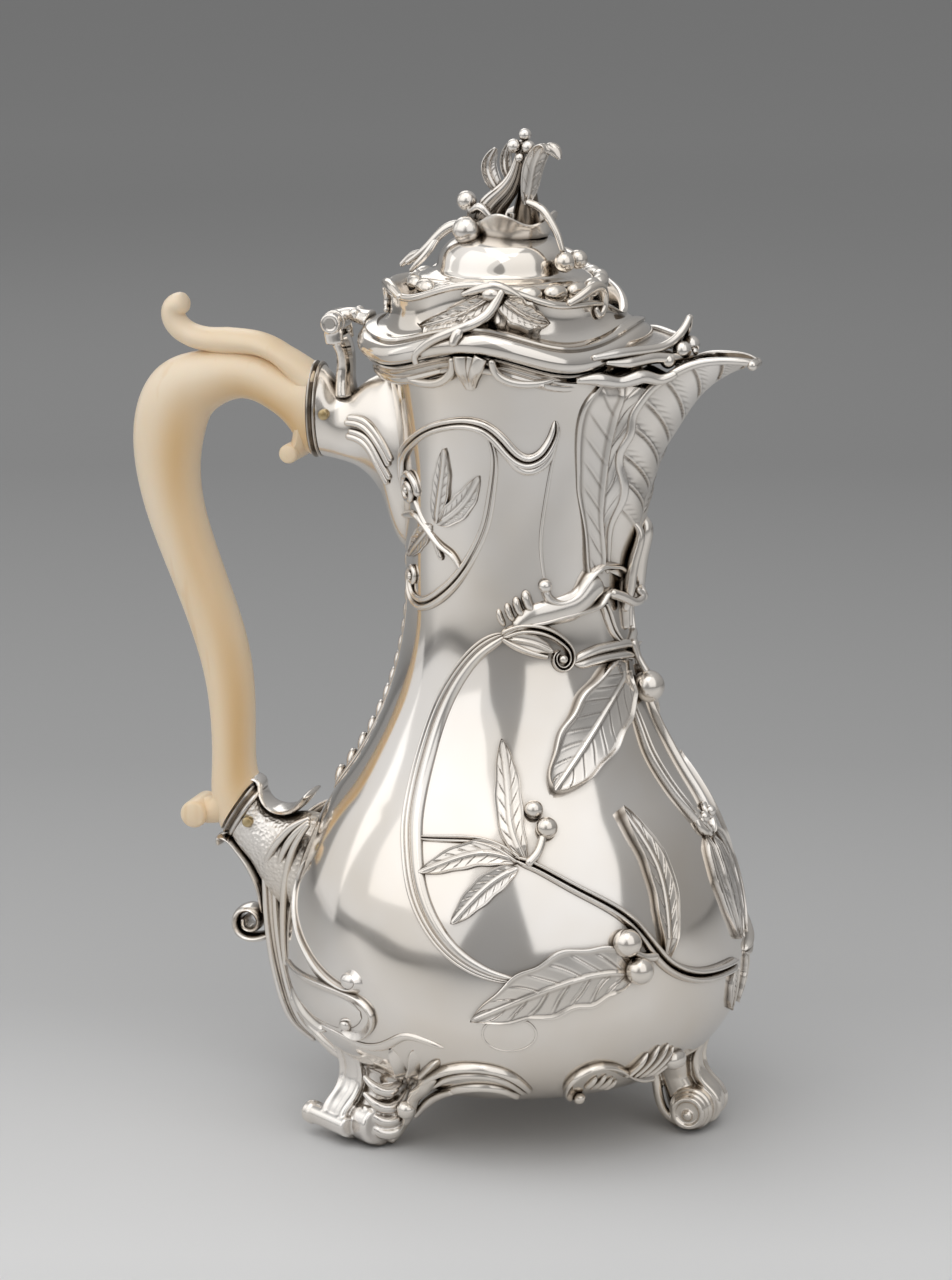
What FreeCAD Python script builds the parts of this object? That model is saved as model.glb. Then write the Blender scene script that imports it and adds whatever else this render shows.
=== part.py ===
import FreeCAD, Part
import math
import os

import Sketcher
from FreeCAD import Matrix, Placement, Rotation, Vector

# A rococo silver coffee pot with an ivory handle and a hinged lid.
# Driving dimensions are in millimetres and degrees. Heights are above the table. The x axis runs from the
# handle to the spout and is measured from the pot's own axis. Bearings turn from the spout to the right side.
DIMENSIONS = {
    # Whole object: the pot's axis stands ahead of the middle, because the handle reaches out behind
    "axis_x": 22.9,
    # Room left for solder between curved pieces
    "solder_gap": 0.05,
    # Body shell, turned from tangent arcs
    "belly_radius": 67.3,
    "belly_height": 49.5,
    "under_arc": 35.0,
    "belly_arc": 85.6,
    "neck_radius": 32.0,
    "neck_height": 157.7,
    "flare_arc": 416.0,
    "mouth_height": 225.0,
    "wall": 1.2,
    "strainer_hole": 1.5,
    "strainer_pitch": 6.0,
    "strainer_height": 186.0,
    # Relief ornament on the body
    "leaf_relief": 2.0,
    "scroll_tube": 2.1,
    "stem_tube": 1.5,
    # Wavy mouth moulding and lid, four waves to the turn
    "wave_rise": 3.0,
    "wave_count": 4,
    "lid_shift": -1.8,
    "ring_height": 228.6,
    "ring_inner": 38.6,
    "ring_outer": 44.2,
    "ring_tall": 8.0,
    "ring_crown": 1.0,
    "lid_gap": 0.4,
    "moulding_tall": 5.6,
    "moulding_outer": 41.6,
    "moulding_step": 1.6,
    "moulding_open": 40.0,
    "clasp_bearing": 92.0,
    "clasp_step": 5.0,
    "clasp_reed": 1.9,
    "gallery_inner": 32.6,
    "gallery_wall": 2.2,
    "gallery_top": 248.0,
    "gallery_lift": 1.2,
    "gallery_flange": 6.0,
    "gallery_cove": 4.0,
    "spray_half": 3.4,
    "plate_height": 232.6,
    "plate_thick": 1.3,
    "bezel_outer": 34.6,
    "bezel_wall": 1.2,
    "bezel_drop": 11.0,
    "dome_arc": 27.8,
    "dome_radius": 25.6,
    "dome_top": 263.0,
    "bead_radius": 2.6,
    "bead_count": 20,
    "bead_seat": 2.2,
    # Finial
    "wreath_radius": 10.0,
    "wreath_tube": 2.2,
    "stud_radius": 1.5,
    "finial_tip": 290.0,
    "finial_foot": 3.6,
    "finial_leaf_thick": 1.0,
    "nut_across": 7.0,
    "nut_tall": 3.0,
    # Hinge
    "hinge_x": -54.4,
    "hinge_height": 232.4,
    "knuckle_radius": 3.8,
    "knuckle_half": 3.0,
    "hinge_half": 6.2,
    "pin_radius": 1.5,
    "pin_play": 0.06,
    "hinge_gap": 0.3,
    "strut_deep": 4.4,
    "strut_foot": 210.8,
    # Handle, its sockets and pins
    "grip_depth": 8.0,
    "socket_x": -61.2,
    "socket_height": 206.3,
    "socket_tall": 14.2,
    "socket_half": 9.4,
    "tenon_radius": 4.0,
    "tenon_long": 11.0,
    "low_socket_x": -85.4,
    "low_socket_height": 85.6,
    "low_socket_slope": 33.0,
    "low_socket_tall": 9.8,
    "low_socket_half": 8.0,
    "rivet_radius": 1.2,
    "rivet_proud": 0.5,
    "ferrule_deep": 2.6,
    "ferrule_step": 0.5,
    "handle_gap": 0.6,
    # Spout
    "spout_lip": 226.4,
    "spout_wall": 1.3,
    "cover_gap": 1.0,
    "cover_thick": 2.2,
    # Feet
    "foot_reach": 54.0,
    "foot_roll": 6.5,
    "foot_half": 10.5,
    "foot_flat": 0.35,
    "foot_bearing": 122.0,
    "eye_radius": 4.6,
    "eye_proud": 1.6,
    "button_radius": 2.2,
}

UP = Vector(0, 0, 1)
SIDE = Vector(0, 1, 0)
ORIGIN = Vector(0, 0, 0)

doc = FreeCAD.newDocument("coffee_pot")
sheet = doc.addObject("Spreadsheet::Sheet", "sizes")
for row, (alias, value) in enumerate(DIMENSIONS.items(), start=1):
    sheet.set(f"A{row}", alias)
    sheet.set(f"B{row}", str(value))
    sheet.setAlias(f"B{row}", alias)
doc.recompute()

pieces = []


# Reading the sheet
def size(alias):
    return float(sheet.get(alias))


def terms(rule):
    """Split a sum such as 'mouth_height - wall' into signs and aliases."""
    words = rule.split()
    signs = [1] + [1 if word == "+" else -1 for word in words[1::2]]
    return list(zip(signs, words[0::2]))


def worth(rule):
    return sum(sign * size(alias) for sign, alias in terms(rule))


def bound(rule):
    """The same sum, as an expression on the sheet's cells."""
    words = [("+ sizes." if sign > 0 else "- sizes.") + alias for sign, alias in terms(rule)]
    return " ".join(words).lstrip("+ ")


# Document objects
def piece(obj, label, x_rule="axis_x"):
    """Name a finished sub-part and tie its place to the pot's axis."""
    obj.Label = label
    obj.setExpression("Placement.Base.x", bound(x_rule))
    pieces.append(obj)
    return obj


def solid_piece(label, shape, turn=0.0, x_rule="axis_x"):
    """A sub-part whose free form is worked out here, turned about an upright axis."""
    obj = doc.addObject("Part::Feature", label)
    obj.Shape = shape
    obj.Placement = Placement(Vector(worth(x_rule), 0, 0), Rotation(UP, turn))
    return piece(obj, label, x_rule)


def in_pot_frame(label):
    """A finished sub-part's shape, measured from the pot's axis."""
    return doc.getObject(label).Shape.translated(Vector(-size("axis_x"), 0, 0))


def mirrored_piece(source, label):
    """The same sub-part on the pot's left side."""
    obj = doc.addObject("Part::Mirroring", label)
    obj.Source = source
    obj.Normal = SIDE
    obj.Base = ORIGIN
    obj.Label = label
    pieces.append(obj)
    return obj


def pair(name, shape, x_rule="axis_x"):
    mirrored_piece(solid_piece(name + "_right", shape, x_rule=x_rule), name + "_left")


def primitive(kind, name, rules):
    obj = doc.addObject(kind, name)
    for prop, rule in rules.items():
        obj.setExpression(prop, bound(rule))
    return obj


def new_body(name):
    return doc.addObject("PartDesign::Body", name)


def sketch_on(body, name, role):
    sketch = body.newObject("Sketcher::SketchObject", name)
    plane = next(feature for feature in body.Origin.OriginFeatures if feature.Role == role)
    sketch.AttachmentSupport = [(plane, "")]
    sketch.MapMode = "FlatFace"
    return sketch


def constrain(sketch, kind, *where, rule=None):
    """Add a constraint; one with a rule takes its value from the sheet."""
    if rule is None:
        return sketch.addConstraint(Sketcher.Constraint(kind, *where))
    index = sketch.addConstraint(Sketcher.Constraint(kind, *where, worth(rule)))
    sketch.setExpression(f"Constraints[{index}]", bound(rule))
    return index


def polygon(sketch, corners):
    """Closed outline whose corners are pairs of rules on the sheet."""
    points = [Vector(worth(across), worth(along), 0) for across, along in corners]
    count = len(points)
    for i in range(count):
        sketch.addGeometry(Part.LineSegment(points[i], points[(i + 1) % count]), False)
    for i, (across, along) in enumerate(corners):
        constrain(sketch, "Coincident", i - 1 if i else count - 1, 2, i, 1)
        constrain(sketch, "DistanceX", i, 1, rule=across)
        constrain(sketch, "DistanceY", i, 1, rule=along)


def circle(sketch, radius_rule, across, along):
    spot_on_sketch = Vector(worth(across), worth(along), 0)
    index = sketch.addGeometry(Part.Circle(spot_on_sketch, UP, worth(radius_rule)), False)
    constrain(sketch, "Radius", index, rule=radius_rule)
    constrain(sketch, "DistanceX", index, 3, rule=across)
    constrain(sketch, "DistanceY", index, 3, rule=along)


def revolve(body, sketch):
    turned = body.newObject("PartDesign::Revolution", sketch.Name + "_turned")
    turned.Profile = sketch
    turned.ReferenceAxis = (sketch, ["V_Axis"])
    return turned


def pad_both_ways(body, sketch, length_rule):
    pad = body.newObject("PartDesign::Pad", sketch.Name + "_pad")
    pad.Profile = sketch
    pad.SideType = "Symmetric"
    pad.setExpression("Length", f"2 * ({bound(length_rule)})")
    return pad


def pocket_both_ways(body, sketch, length_rule):
    pocket = body.newObject("PartDesign::Pocket", sketch.Name + "_pocket")
    pocket.Profile = sketch
    pocket.SideType = "Symmetric"
    pocket.setExpression("Length", f"2 * ({bound(length_rule)})")
    return pocket


# The body's profile: under arc, belly arc, waist arc and flare arc, each tangent to the next
class Profile:
    belly_radius = size("belly_radius")
    belly_height = size("belly_height")
    neck_radius = size("neck_radius")
    neck_height = size("neck_height")
    under = size("under_arc")
    belly = size("belly_arc")
    flare = size("flare_arc")
    under_x = belly_radius - under
    belly_x = belly_radius - belly
    rise = neck_height - belly_height
    reach = neck_radius - belly_x
    waist = (reach**2 + rise**2 - belly**2) / (2 * (belly - reach))
    waist_x = neck_radius + waist
    flare_x = neck_radius + flare
    turn = math.atan2(rise, waist_x - belly_x)
    bottom = belly_height - under


def body_radius(height, offset=0.0):
    """Outside radius of the body at a height, on a skin lifted off it by an offset."""
    p = Profile
    if height < p.belly_height:
        return p.under_x + math.sqrt((p.under + offset) ** 2 - (height - p.belly_height) ** 2)
    if height < p.belly_height + (p.belly + offset) * math.sin(p.turn):
        return p.belly_x + math.sqrt((p.belly + offset) ** 2 - (height - p.belly_height) ** 2)
    if height < p.neck_height:
        return p.waist_x - math.sqrt((p.waist - offset) ** 2 - (height - p.neck_height) ** 2)
    return p.flare_x - math.sqrt((p.flare - offset) ** 2 - (height - p.neck_height) ** 2)


def profile_arcs(offset):
    """The four arcs of one skin as (centre x, centre height, radius, first angle, last angle)."""
    p = Profile
    lip_angle = math.asin((size("mouth_height") - p.neck_height) / (p.flare - offset))
    return [
        (p.under_x, p.belly_height, p.under + offset, -math.pi / 2, 0.0),
        (p.belly_x, p.belly_height, p.belly + offset, 0.0, p.turn),
        (p.waist_x, p.neck_height, p.waist - offset, math.pi, math.pi + p.turn),
        (p.flare_x, p.neck_height, p.flare - offset, math.pi - lip_angle, math.pi),
    ]


def turned_body(offset):
    """The filled body, out to a skin lifted off it by an offset."""
    edges = []
    for centre_x, height, radius, first, last in profile_arcs(offset):
        ring = Part.Circle(Vector(centre_x, 0, height), Vector(0, -1, 0), radius)
        ring.XAxis = Vector(1, 0, 0)
        edges.append(Part.ArcOfCircle(ring, first, last).toShape())
    foot = Vector(Profile.under_x, 0, Profile.bottom - offset)
    lip = Vector(body_radius(size("mouth_height"), offset), 0, size("mouth_height"))
    edges.append(Part.makeLine(Vector(0, 0, foot.z), foot))
    edges.append(Part.makeLine(lip, Vector(0, 0, lip.z)))
    edges.append(Part.makeLine(Vector(0, 0, lip.z), Vector(0, 0, foot.z)))
    face = Part.Face(Part.Wire(Part.__sortEdges__(edges)))
    return face.revolve(ORIGIN, UP, 360)


filled_body = turned_body(0.0)
relief_skin = turned_body(size("leaf_relief")).cut(filled_body)


# Free forms
def spot(bearing, height, lift=0.0):
    """A place on the right side of the body, lifted off its skin."""
    radius = body_radius(height) + lift
    angle = math.radians(bearing)
    return Vector(radius * math.cos(angle), -radius * math.sin(angle), height)


def spots(route, lift=0.0):
    return [spot(bearing, height, lift) for bearing, height in route]


def flat(*points):
    """Points given as (x, height) in the pot's middle plane."""
    return [Vector(x, 0, height) for x, height in points]


def blend(values, share):
    """Read a list of evenly spaced values at a share of its length."""
    place = share * (len(values) - 1)
    index = min(int(place), len(values) - 2)
    return values[index] + (place - index) * (values[index + 1] - values[index])


def spline(points, closed=False):
    curve = Part.BSplineCurve()
    curve.interpolate(points, PeriodicFlag=closed)
    return curve


def oval(centre, first_axis, second_axis):
    """A closed oval wire about a centre, reaching to the tips of two half axes."""
    normal = first_axis.cross(second_axis).normalize()
    stretch = Matrix(
        *(first_axis.x, second_axis.x, normal.x, centre.x),
        *(first_axis.y, second_axis.y, normal.y, centre.y),
        *(first_axis.z, second_axis.z, normal.z, centre.z),
    )
    return Part.Wire(Part.makeCircle(1.0).transformGeometry(stretch).Edges)


def tube(points, radii, per_span=2):
    """A round bar along a smooth line, as thick as the radii say."""
    curve = spline(points)
    count = per_span * (len(points) - 1)
    rings = []
    side = Vector(0.3, 0.5, 0.8)
    for i in range(count + 1):
        share = i / count
        parameter = curve.FirstParameter + share * (curve.LastParameter - curve.FirstParameter)
        along = curve.tangent(parameter)[0]
        side = (side - along * side.dot(along)).normalize()
        ring = Part.Circle(curve.value(parameter), along, blend(radii, share))
        ring.XAxis = side
        rings.append(Part.Wire(ring.toShape()))
    return Part.makeLoft(rings, True)


def flat_tube(places, base=0.0):
    """A bar in the pot's middle plane through places given as (x, height above a base, radius)."""
    route = flat(*[(x, base + height) for x, height, _ in places])
    return tube(route, [radius for *_, radius in places])


def ball(centre, radius):
    return Part.makeSphere(radius, centre)


def rod(start, end, radius):
    return Part.makeCylinder(radius, (end - start).Length, start, end - start)


def joined(shapes):
    return shapes[0].fuse(shapes[1:]).removeSplitter() if len(shapes) > 1 else shapes[0]


def seated(shape):
    """Trim a soldered piece so that it sits on the body's skin."""
    return shape.cut(filled_body)


def group(shapes):
    solids = [solid for shape in shapes for solid in shape.Solids]
    return Part.makeCompound(solids)


def leaf_prism(base, middle, tip, half_width, facing, depth):
    """A pointed leaf outline through the middle of a shape, extruded both ways along its facing."""
    base, tip = [place - facing * (place - middle).dot(facing) for place in (base, tip)]
    across = facing.cross(tip - base).normalize()
    sides = []
    for hand in (1, -1):
        sides.append(spline([base, middle + across * (hand * half_width), tip]).toShape())
    outline = Part.Face(Part.Wire(sides))
    outline.translate(facing * -depth)
    return outline.extrude(facing * (2 * depth))


LEAF_DEPTH = 14.0


def body_leaf(base, middle, tip, half_width):
    """A leaf in low relief on the body, from three (bearing, height) places."""
    angle = math.radians(middle[0])
    facing = Vector(math.cos(angle), -math.sin(angle), 0)
    prism = leaf_prism(spot(*base), spot(*middle), spot(*tip), half_width, facing, LEAF_DEPTH)
    return prism.common(relief_skin)


def body_scroll(route, radii):
    return seated(tube(spots(route), radii))


def ellipse_ring(centre, along, in_plane, out_of_plane):
    """An oval section whose plane stands square to a direction in the pot's middle plane."""
    return oval(centre, along.cross(SIDE).normalize() * in_plane, SIDE * out_of_plane)


# Body shell, base plate and strainer
STRAINER_ROWS = range(-2, 3)
STRAINER_COLUMNS = range(-1, 2)


def make_body_shell():
    body = new_body("body_shell")
    sketch = sketch_on(body, "wall_profile", "XZ_Plane")
    for offset in (0.0, -size("wall")):
        for centre_x, height, radius, first, last in profile_arcs(offset):
            ring = Part.Circle(Vector(centre_x, height, 0), UP, radius)
            sketch.addGeometry(Part.ArcOfCircle(ring, first, last), False)
    under, belly, waist, flare = range(4)
    for arc in (under, belly):
        constrain(sketch, "DistanceY", arc, 3, rule="belly_height")
    constrain(sketch, "DistanceX", under, 3, rule="belly_radius - under_arc")
    constrain(sketch, "Radius", under, rule="under_arc")
    constrain(sketch, "Radius", belly, rule="belly_arc")
    constrain(sketch, "DistanceX", under, 1, rule="belly_radius - under_arc")
    constrain(sketch, "Tangent", under, 2, belly, 1)
    constrain(sketch, "Tangent", belly, 2, waist, 2)
    constrain(sketch, "DistanceX", waist, 1, rule="neck_radius")
    constrain(sketch, "DistanceY", waist, 1, rule="neck_height")
    constrain(sketch, "DistanceY", waist, 3, rule="neck_height")
    constrain(sketch, "Tangent", waist, 1, flare, 2)
    constrain(sketch, "Radius", flare, rule="flare_arc")
    constrain(sketch, "DistanceY", flare, 1, rule="mouth_height")
    for arc in range(4):
        constrain(sketch, "Coincident", arc, 3, arc + 4, 3)
    constrain(sketch, "Radius", under + 4, rule="under_arc - wall")
    constrain(sketch, "DistanceX", under + 4, 1, rule="belly_radius - under_arc")
    constrain(sketch, "Coincident", under + 4, 2, belly + 4, 1)
    constrain(sketch, "DistanceY", belly + 4, 1, rule="belly_height")
    constrain(sketch, "Tangent", belly + 4, 2, waist + 4, 2)
    constrain(sketch, "Coincident", waist + 4, 1, flare + 4, 2)
    constrain(sketch, "DistanceY", waist + 4, 1, rule="neck_height")
    constrain(sketch, "DistanceY", flare + 4, 1, rule="mouth_height")
    for arc, line in ((under, 8), (flare, 9)):
        first = sketch.Geometry[arc].StartPoint
        last = sketch.Geometry[arc + 4].StartPoint
        sketch.addGeometry(Part.LineSegment(first, last), False)
        constrain(sketch, "Coincident", arc, 1, line, 1)
        constrain(sketch, "Coincident", arc + 4, 1, line, 2)
    wall = revolve(body, sketch)
    doc.recompute()
    whole = wall.Shape.Volume
    holes = sketch_on(body, "strainer", "YZ_Plane")
    pitch = size("strainer_pitch")
    for row in STRAINER_ROWS:
        for column in STRAINER_COLUMNS:
            place = Vector(column * pitch, size("strainer_height") + row * pitch, 0)
            index = holes.addGeometry(Part.Circle(place, UP, size("strainer_hole")), False)
            constrain(holes, "Radius", index, rule="strainer_hole")
    pierced = body.newObject("PartDesign::Pocket", "strainer_holes")
    pierced.Profile = holes
    pierced.Reversed = True
    pierced.setExpression("Length", bound("belly_radius"))
    doc.recompute()
    if pierced.Shape.Volume >= whole:
        raise RuntimeError("the strainer holes cut nothing")
    piece(body, "body_shell")


def make_base_plate():
    sizes_of_plate = {"Radius": "belly_radius - under_arc", "Height": "wall"}
    plate = primitive("Part::Cylinder", "base_plate", sizes_of_plate)
    plate.setExpression("Placement.Base.z", bound("belly_height - under_arc"))
    piece(plate, "base_plate")


# Wavy mouldings: a section carried round a ring whose height rises and falls
def wave(bearing):
    return size("wave_rise") * math.cos(math.radians(size("wave_count") * bearing))


def wavy_line(bearings, radius):
    points = []
    for bearing in bearings:
        angle = math.radians(bearing)
        points.append(Vector(radius * math.cos(angle), -radius * math.sin(angle), wave(bearing)))
    return points


WAVE_STEPS = 48
LID_CENTRE = "axis_x + lid_shift"


def wavy_ring(outline, opening=0.0):
    """Carry an outline of (radius, height) edges round the wave, leaving an opening at the spout if asked."""
    turn = 360.0 - 2 * opening
    bearings = [opening + turn * i / WAVE_STEPS for i in range(WAVE_STEPS + 1)]
    if not opening:
        bearings.pop()
    path = spline(wavy_line(bearings, outline.CenterOfMass.x), closed=not opening)
    start = outline.copy()
    start.rotate(ORIGIN, UP, -opening)
    start.translate(UP * wave(opening))
    sweep = Part.BRepOffsetAPI.MakePipeShell(Part.Wire(path.toShape()))
    sweep.setBiNormalMode(UP)
    sweep.add(start, False, False)
    sweep.build()
    sweep.makeSolid()
    return sweep.shape()


def section(*edges):
    """A closed outline in the (radius, height) plane: two points make a line, three an arc."""
    parts = []
    for edge in edges:
        places = flat(*edge)
        parts.append(Part.makeLine(*places) if len(places) == 2 else Part.Arc(*places).toShape())
    return Part.Wire(parts)


def make_lid_rim():
    inner = size("ring_inner")
    outer = size("ring_outer")
    low = size("ring_height")
    high = low + size("ring_tall")
    middle = (inner + outer) / 2
    crown = size("ring_crown")
    outline = section(
        [(inner, low), (middle, low)],
        [(middle, low), (outer, (low + high) / 2), (middle - crown, high)],
        [(middle - crown, high), (inner, high)],
        [(inner, high), (inner, low)],
    )
    solid_piece("lid_rim", wavy_ring(outline), x_rule=LID_CENTRE)


def make_gallery():
    inner = size("gallery_inner")
    wall = inner + size("gallery_wall")
    flange = size("ring_inner")
    low = worth("ring_height + gallery_lift")
    shoulder = low + size("gallery_flange")
    cove = size("gallery_cove")
    top = size("gallery_top")
    outline = section(
        [(inner, low), (flange, low)],
        [(flange, low), (flange, shoulder)],
        [(flange, shoulder), (wall + 0.15 * cove, shoulder + 0.3 * cove), (wall, shoulder + cove)],
        [(wall, shoulder + cove), (wall, top)],
        [(wall, top), (inner, top)],
        [(inner, top), (inner, low)],
    )
    solid_piece("lid_gallery", wavy_ring(outline), x_rule=LID_CENTRE)


def make_mouth_moulding():
    wall = body_radius(size("mouth_height"))
    inner = wall + size("lid_shift") - size("wall")
    step = wall + size("moulding_step")
    outer = size("moulding_outer")
    high = size("ring_height") - size("lid_gap")
    low = high - size("moulding_tall")
    middle = (low + high) / 2
    outline = section(
        [(inner, low), (step, low)],
        [(step, low), (outer, middle), (step, high)],
        [(step, high), (inner, high)],
        [(inner, high), (inner, low)],
    )
    ring = wavy_ring(outline, size("moulding_open"))
    ring.translate(Vector(size("lid_shift"), 0, 0))
    solid_piece("mouth_moulding", seated(ring).cut(mouth_bore()))


def mouth_bore(lowered=0.0):
    """The space above the mouth that the lid's bezel passes through."""
    height = size("mouth_height") - lowered
    return Part.makeCylinder(body_radius(height), size("ring_tall"), Vector(0, 0, height))


def make_rim_clasps():
    """A clasp of three reeds over the mouth moulding on each side."""
    moulding = in_pot_frame("mouth_moulding")
    reed = size("clasp_reed")
    outer = size("moulding_outer")
    foot = worth("mouth_height - moulding_tall + wall")
    head = worth("ring_height + lid_gap")
    low_reach = outer - 1.4 * reed
    high_reach = outer - 0.2 * reed
    clasps = []
    for hand in (1, -1):
        reeds = []
        for step in (-1, 0, 1):
            angle = math.radians(hand * (size("clasp_bearing") + step * size("clasp_step")))
            out = Vector(math.cos(angle), -math.sin(angle), 0)
            low = out * low_reach + UP * (foot + abs(step))
            reeds.append(rod(low, out * high_reach + UP * head, reed))
        clasps.append(seated(joined(reeds)).cut(moulding))
    solid_piece("rim_clasps", group(clasps))


# Lid: plate, bezel, dome and beads
def make_lid_plate():
    plate = primitive("Part::Cylinder", "lid_plate", {"Radius": "gallery_inner", "Height": "plate_thick"})
    plate.setExpression("Placement.Base.z", bound("plate_height"))
    piece(plate, "lid_plate", LID_CENTRE)


def make_bezel():
    ring = doc.addObject("Part::Cut", "bezel_ring")
    outside = {"Radius": "bezel_outer", "Height": "bezel_drop"}
    inside = {"Radius": "bezel_outer - bezel_wall", "Height": "bezel_drop"}
    ring.Base = primitive("Part::Cylinder", "bezel_outside", outside)
    ring.Tool = primitive("Part::Cylinder", "bezel_inside", inside)
    ring.setExpression("Placement.Base.x", bound("axis_x"))
    ring.setExpression("Placement.Base.z", bound("plate_height - bezel_drop"))
    trimmed = doc.addObject("Part::Cut", "lid_bezel")
    trimmed.Base = ring
    trimmed.Tool = doc.getObject("lid_gallery")
    trimmed.Label = "lid_bezel"
    pieces.append(trimmed)


def dome_spring():
    """Height at which the round of the dome starts above its upright foot."""
    return worth("dome_top - dome_arc") + math.sqrt(size("dome_arc") ** 2 - size("dome_radius") ** 2)


def make_dome():
    body = new_body("lid_dome")
    sketch = sketch_on(body, "dome_profile", "XZ_Plane")
    centre = Vector(0, worth("dome_top - dome_arc"), 0)
    floor = worth("plate_height + plate_thick")
    bore = worth("stud_radius + solder_gap")
    for inset in (0.0, size("wall")):
        arc_radius = size("dome_arc") - inset
        side = size("dome_radius") - inset
        ring = Part.Circle(centre, UP, arc_radius)
        arc = Part.ArcOfCircle(ring, math.acos(side / arc_radius), math.acos(bore / arc_radius))
        sketch.addGeometry(arc, False)
        sketch.addGeometry(Part.LineSegment(Vector(side, floor, 0), arc.StartPoint), False)
    outer_arc, outer_wall, inner_arc, inner_wall, foot, crown = range(6)
    for first, last, end in ((outer_wall, inner_wall, "StartPoint"), (outer_arc, inner_arc, "EndPoint")):
        ends = [getattr(sketch.Geometry[index], end) for index in (first, last)]
        sketch.addGeometry(Part.LineSegment(*ends), False)
    for arc, wall, arc_rule, side_rule in (
        (outer_arc, outer_wall, "dome_arc", "dome_radius"),
        (inner_arc, inner_wall, "dome_arc - wall", "dome_radius - wall"),
    ):
        constrain(sketch, "PointOnObject", arc, 3, -2)
        constrain(sketch, "DistanceY", arc, 3, rule="dome_top - dome_arc")
        constrain(sketch, "Radius", arc, rule=arc_rule)
        constrain(sketch, "Coincident", arc, 1, wall, 2)
        constrain(sketch, "Vertical", wall)
        constrain(sketch, "DistanceX", wall, 1, rule=side_rule)
        constrain(sketch, "DistanceY", wall, 1, rule="plate_height + plate_thick")
        constrain(sketch, "DistanceX", arc, 2, rule="stud_radius + solder_gap")
    for line, first, last, end in ((foot, outer_wall, inner_wall, 1), (crown, outer_arc, inner_arc, 2)):
        constrain(sketch, "Coincident", line, 1, first, end)
        constrain(sketch, "Coincident", line, 2, last, end)
    revolve(body, sketch)
    piece(body, "lid_dome", LID_CENTRE)


def filled_dome():
    """The dome filled solid and a solder gap larger, to seat the beads and the finial on."""
    foot = Vector(0, 0, worth("dome_top - dome_arc"))
    column = Part.makeCylinder(worth("dome_radius + solder_gap"), 2 * size("dome_arc"), foot)
    return column.common(ball(foot, worth("dome_arc + solder_gap")))


def make_beads():
    """The ring of bosses round the foot of the dome."""
    radius = size("bead_radius")
    count = int(size("bead_count"))
    bead = ball(Vector(worth("dome_radius + bead_seat"), 0, dome_spring()), radius).cut(filled_dome())
    beads = [bead.rotated(ORIGIN, UP, 360 * (i + 0.5) / count) for i in range(count)]
    solid_piece("lid_beads", group(beads), x_rule=LID_CENTRE)


LID_SPRAY = [
    # base, middle and tip of a leaf as (x from the lid's axis, height)
    ((-2, 247), (-13, 245), (-23, 242.5)),
    ((2, 247), (11, 245.5), (20, 243.5)),
]


def make_lid_spray():
    """Two leaves in relief on each side of the gallery wall."""
    wall = worth("gallery_inner + gallery_wall + solder_gap")
    foot = Vector(0, 0, size("plate_height"))
    tall = size("dome_arc")
    skin = Part.makeCylinder(wall + size("leaf_relief"), tall, foot).cut(Part.makeCylinder(wall, tall, foot))
    gallery = in_pot_frame("lid_gallery").translated(Vector(-size("lid_shift"), 0, 0))
    leaves = []
    for spray_leaf in LID_SPRAY:
        places = [Vector(x, -wall, height) for x, height in spray_leaf]
        leaf = leaf_prism(*places, size("spray_half"), Vector(0, -1, 0), LEAF_DEPTH).common(skin).cut(gallery)
        leaves.append(max(leaf.Solids, key=lambda solid: solid.Volume))
    pair("lid_spray", group(leaves), LID_CENTRE)


# Finial: a coffee sprig on a wreath, held by a stud and a nut under the dome.
# Places are (x from the lid's axis, height above the dome's top), then a radius or a half width.
FINIAL_STEM = [(0, 1, 3.0), (-1.5, 5, 2.8), (1.0, 11, 2.2), (3.2, 17.5, 1.8)]
WREATH_TWIGS = [
    [(-10, 0, 2.0), (-18, -4.4, 1.5), (-24, -9.4, 1.2)],
    [(10, 0, 2.0), (15.5, -2.6, 1.5), (19.0, -7.0, 1.2)],
]
FINIAL_LEAVES = [
    # base, middle, tip, half width
    ((-1.0, 7), (-6.5, 14.5), (-5.0, 22), 2.6),
    ((3.0, 8), (8.5, 15.0), (12.5, 20.5), 3.4),
]
TOP_BERRIES = [
    # x, y, depth of the centre below the finial's tip, radius
    (3.6, 0.0, 2.3, 2.3),
    (1.6, -1.6, 5.6, 2.4),
    (4.8, -1.8, 6.0, 2.2),
    (2.2, 2.2, 6.0, 2.4),
]
WREATH_BERRIES = [
    # x, y, height above the dome's top, radius
    (-13.4, -2.0, 3.0, 3.0),
    (-9.6, -8.4, -0.6, 4.2),
    (19.6, -2.4, -9.4, 3.4),
    (20.2, 2.6, -9.6, 3.2),
]
WREATH_DROP = 0.6
STUD_LONG = 7.0
FOOT_TALL = 3.0


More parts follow.
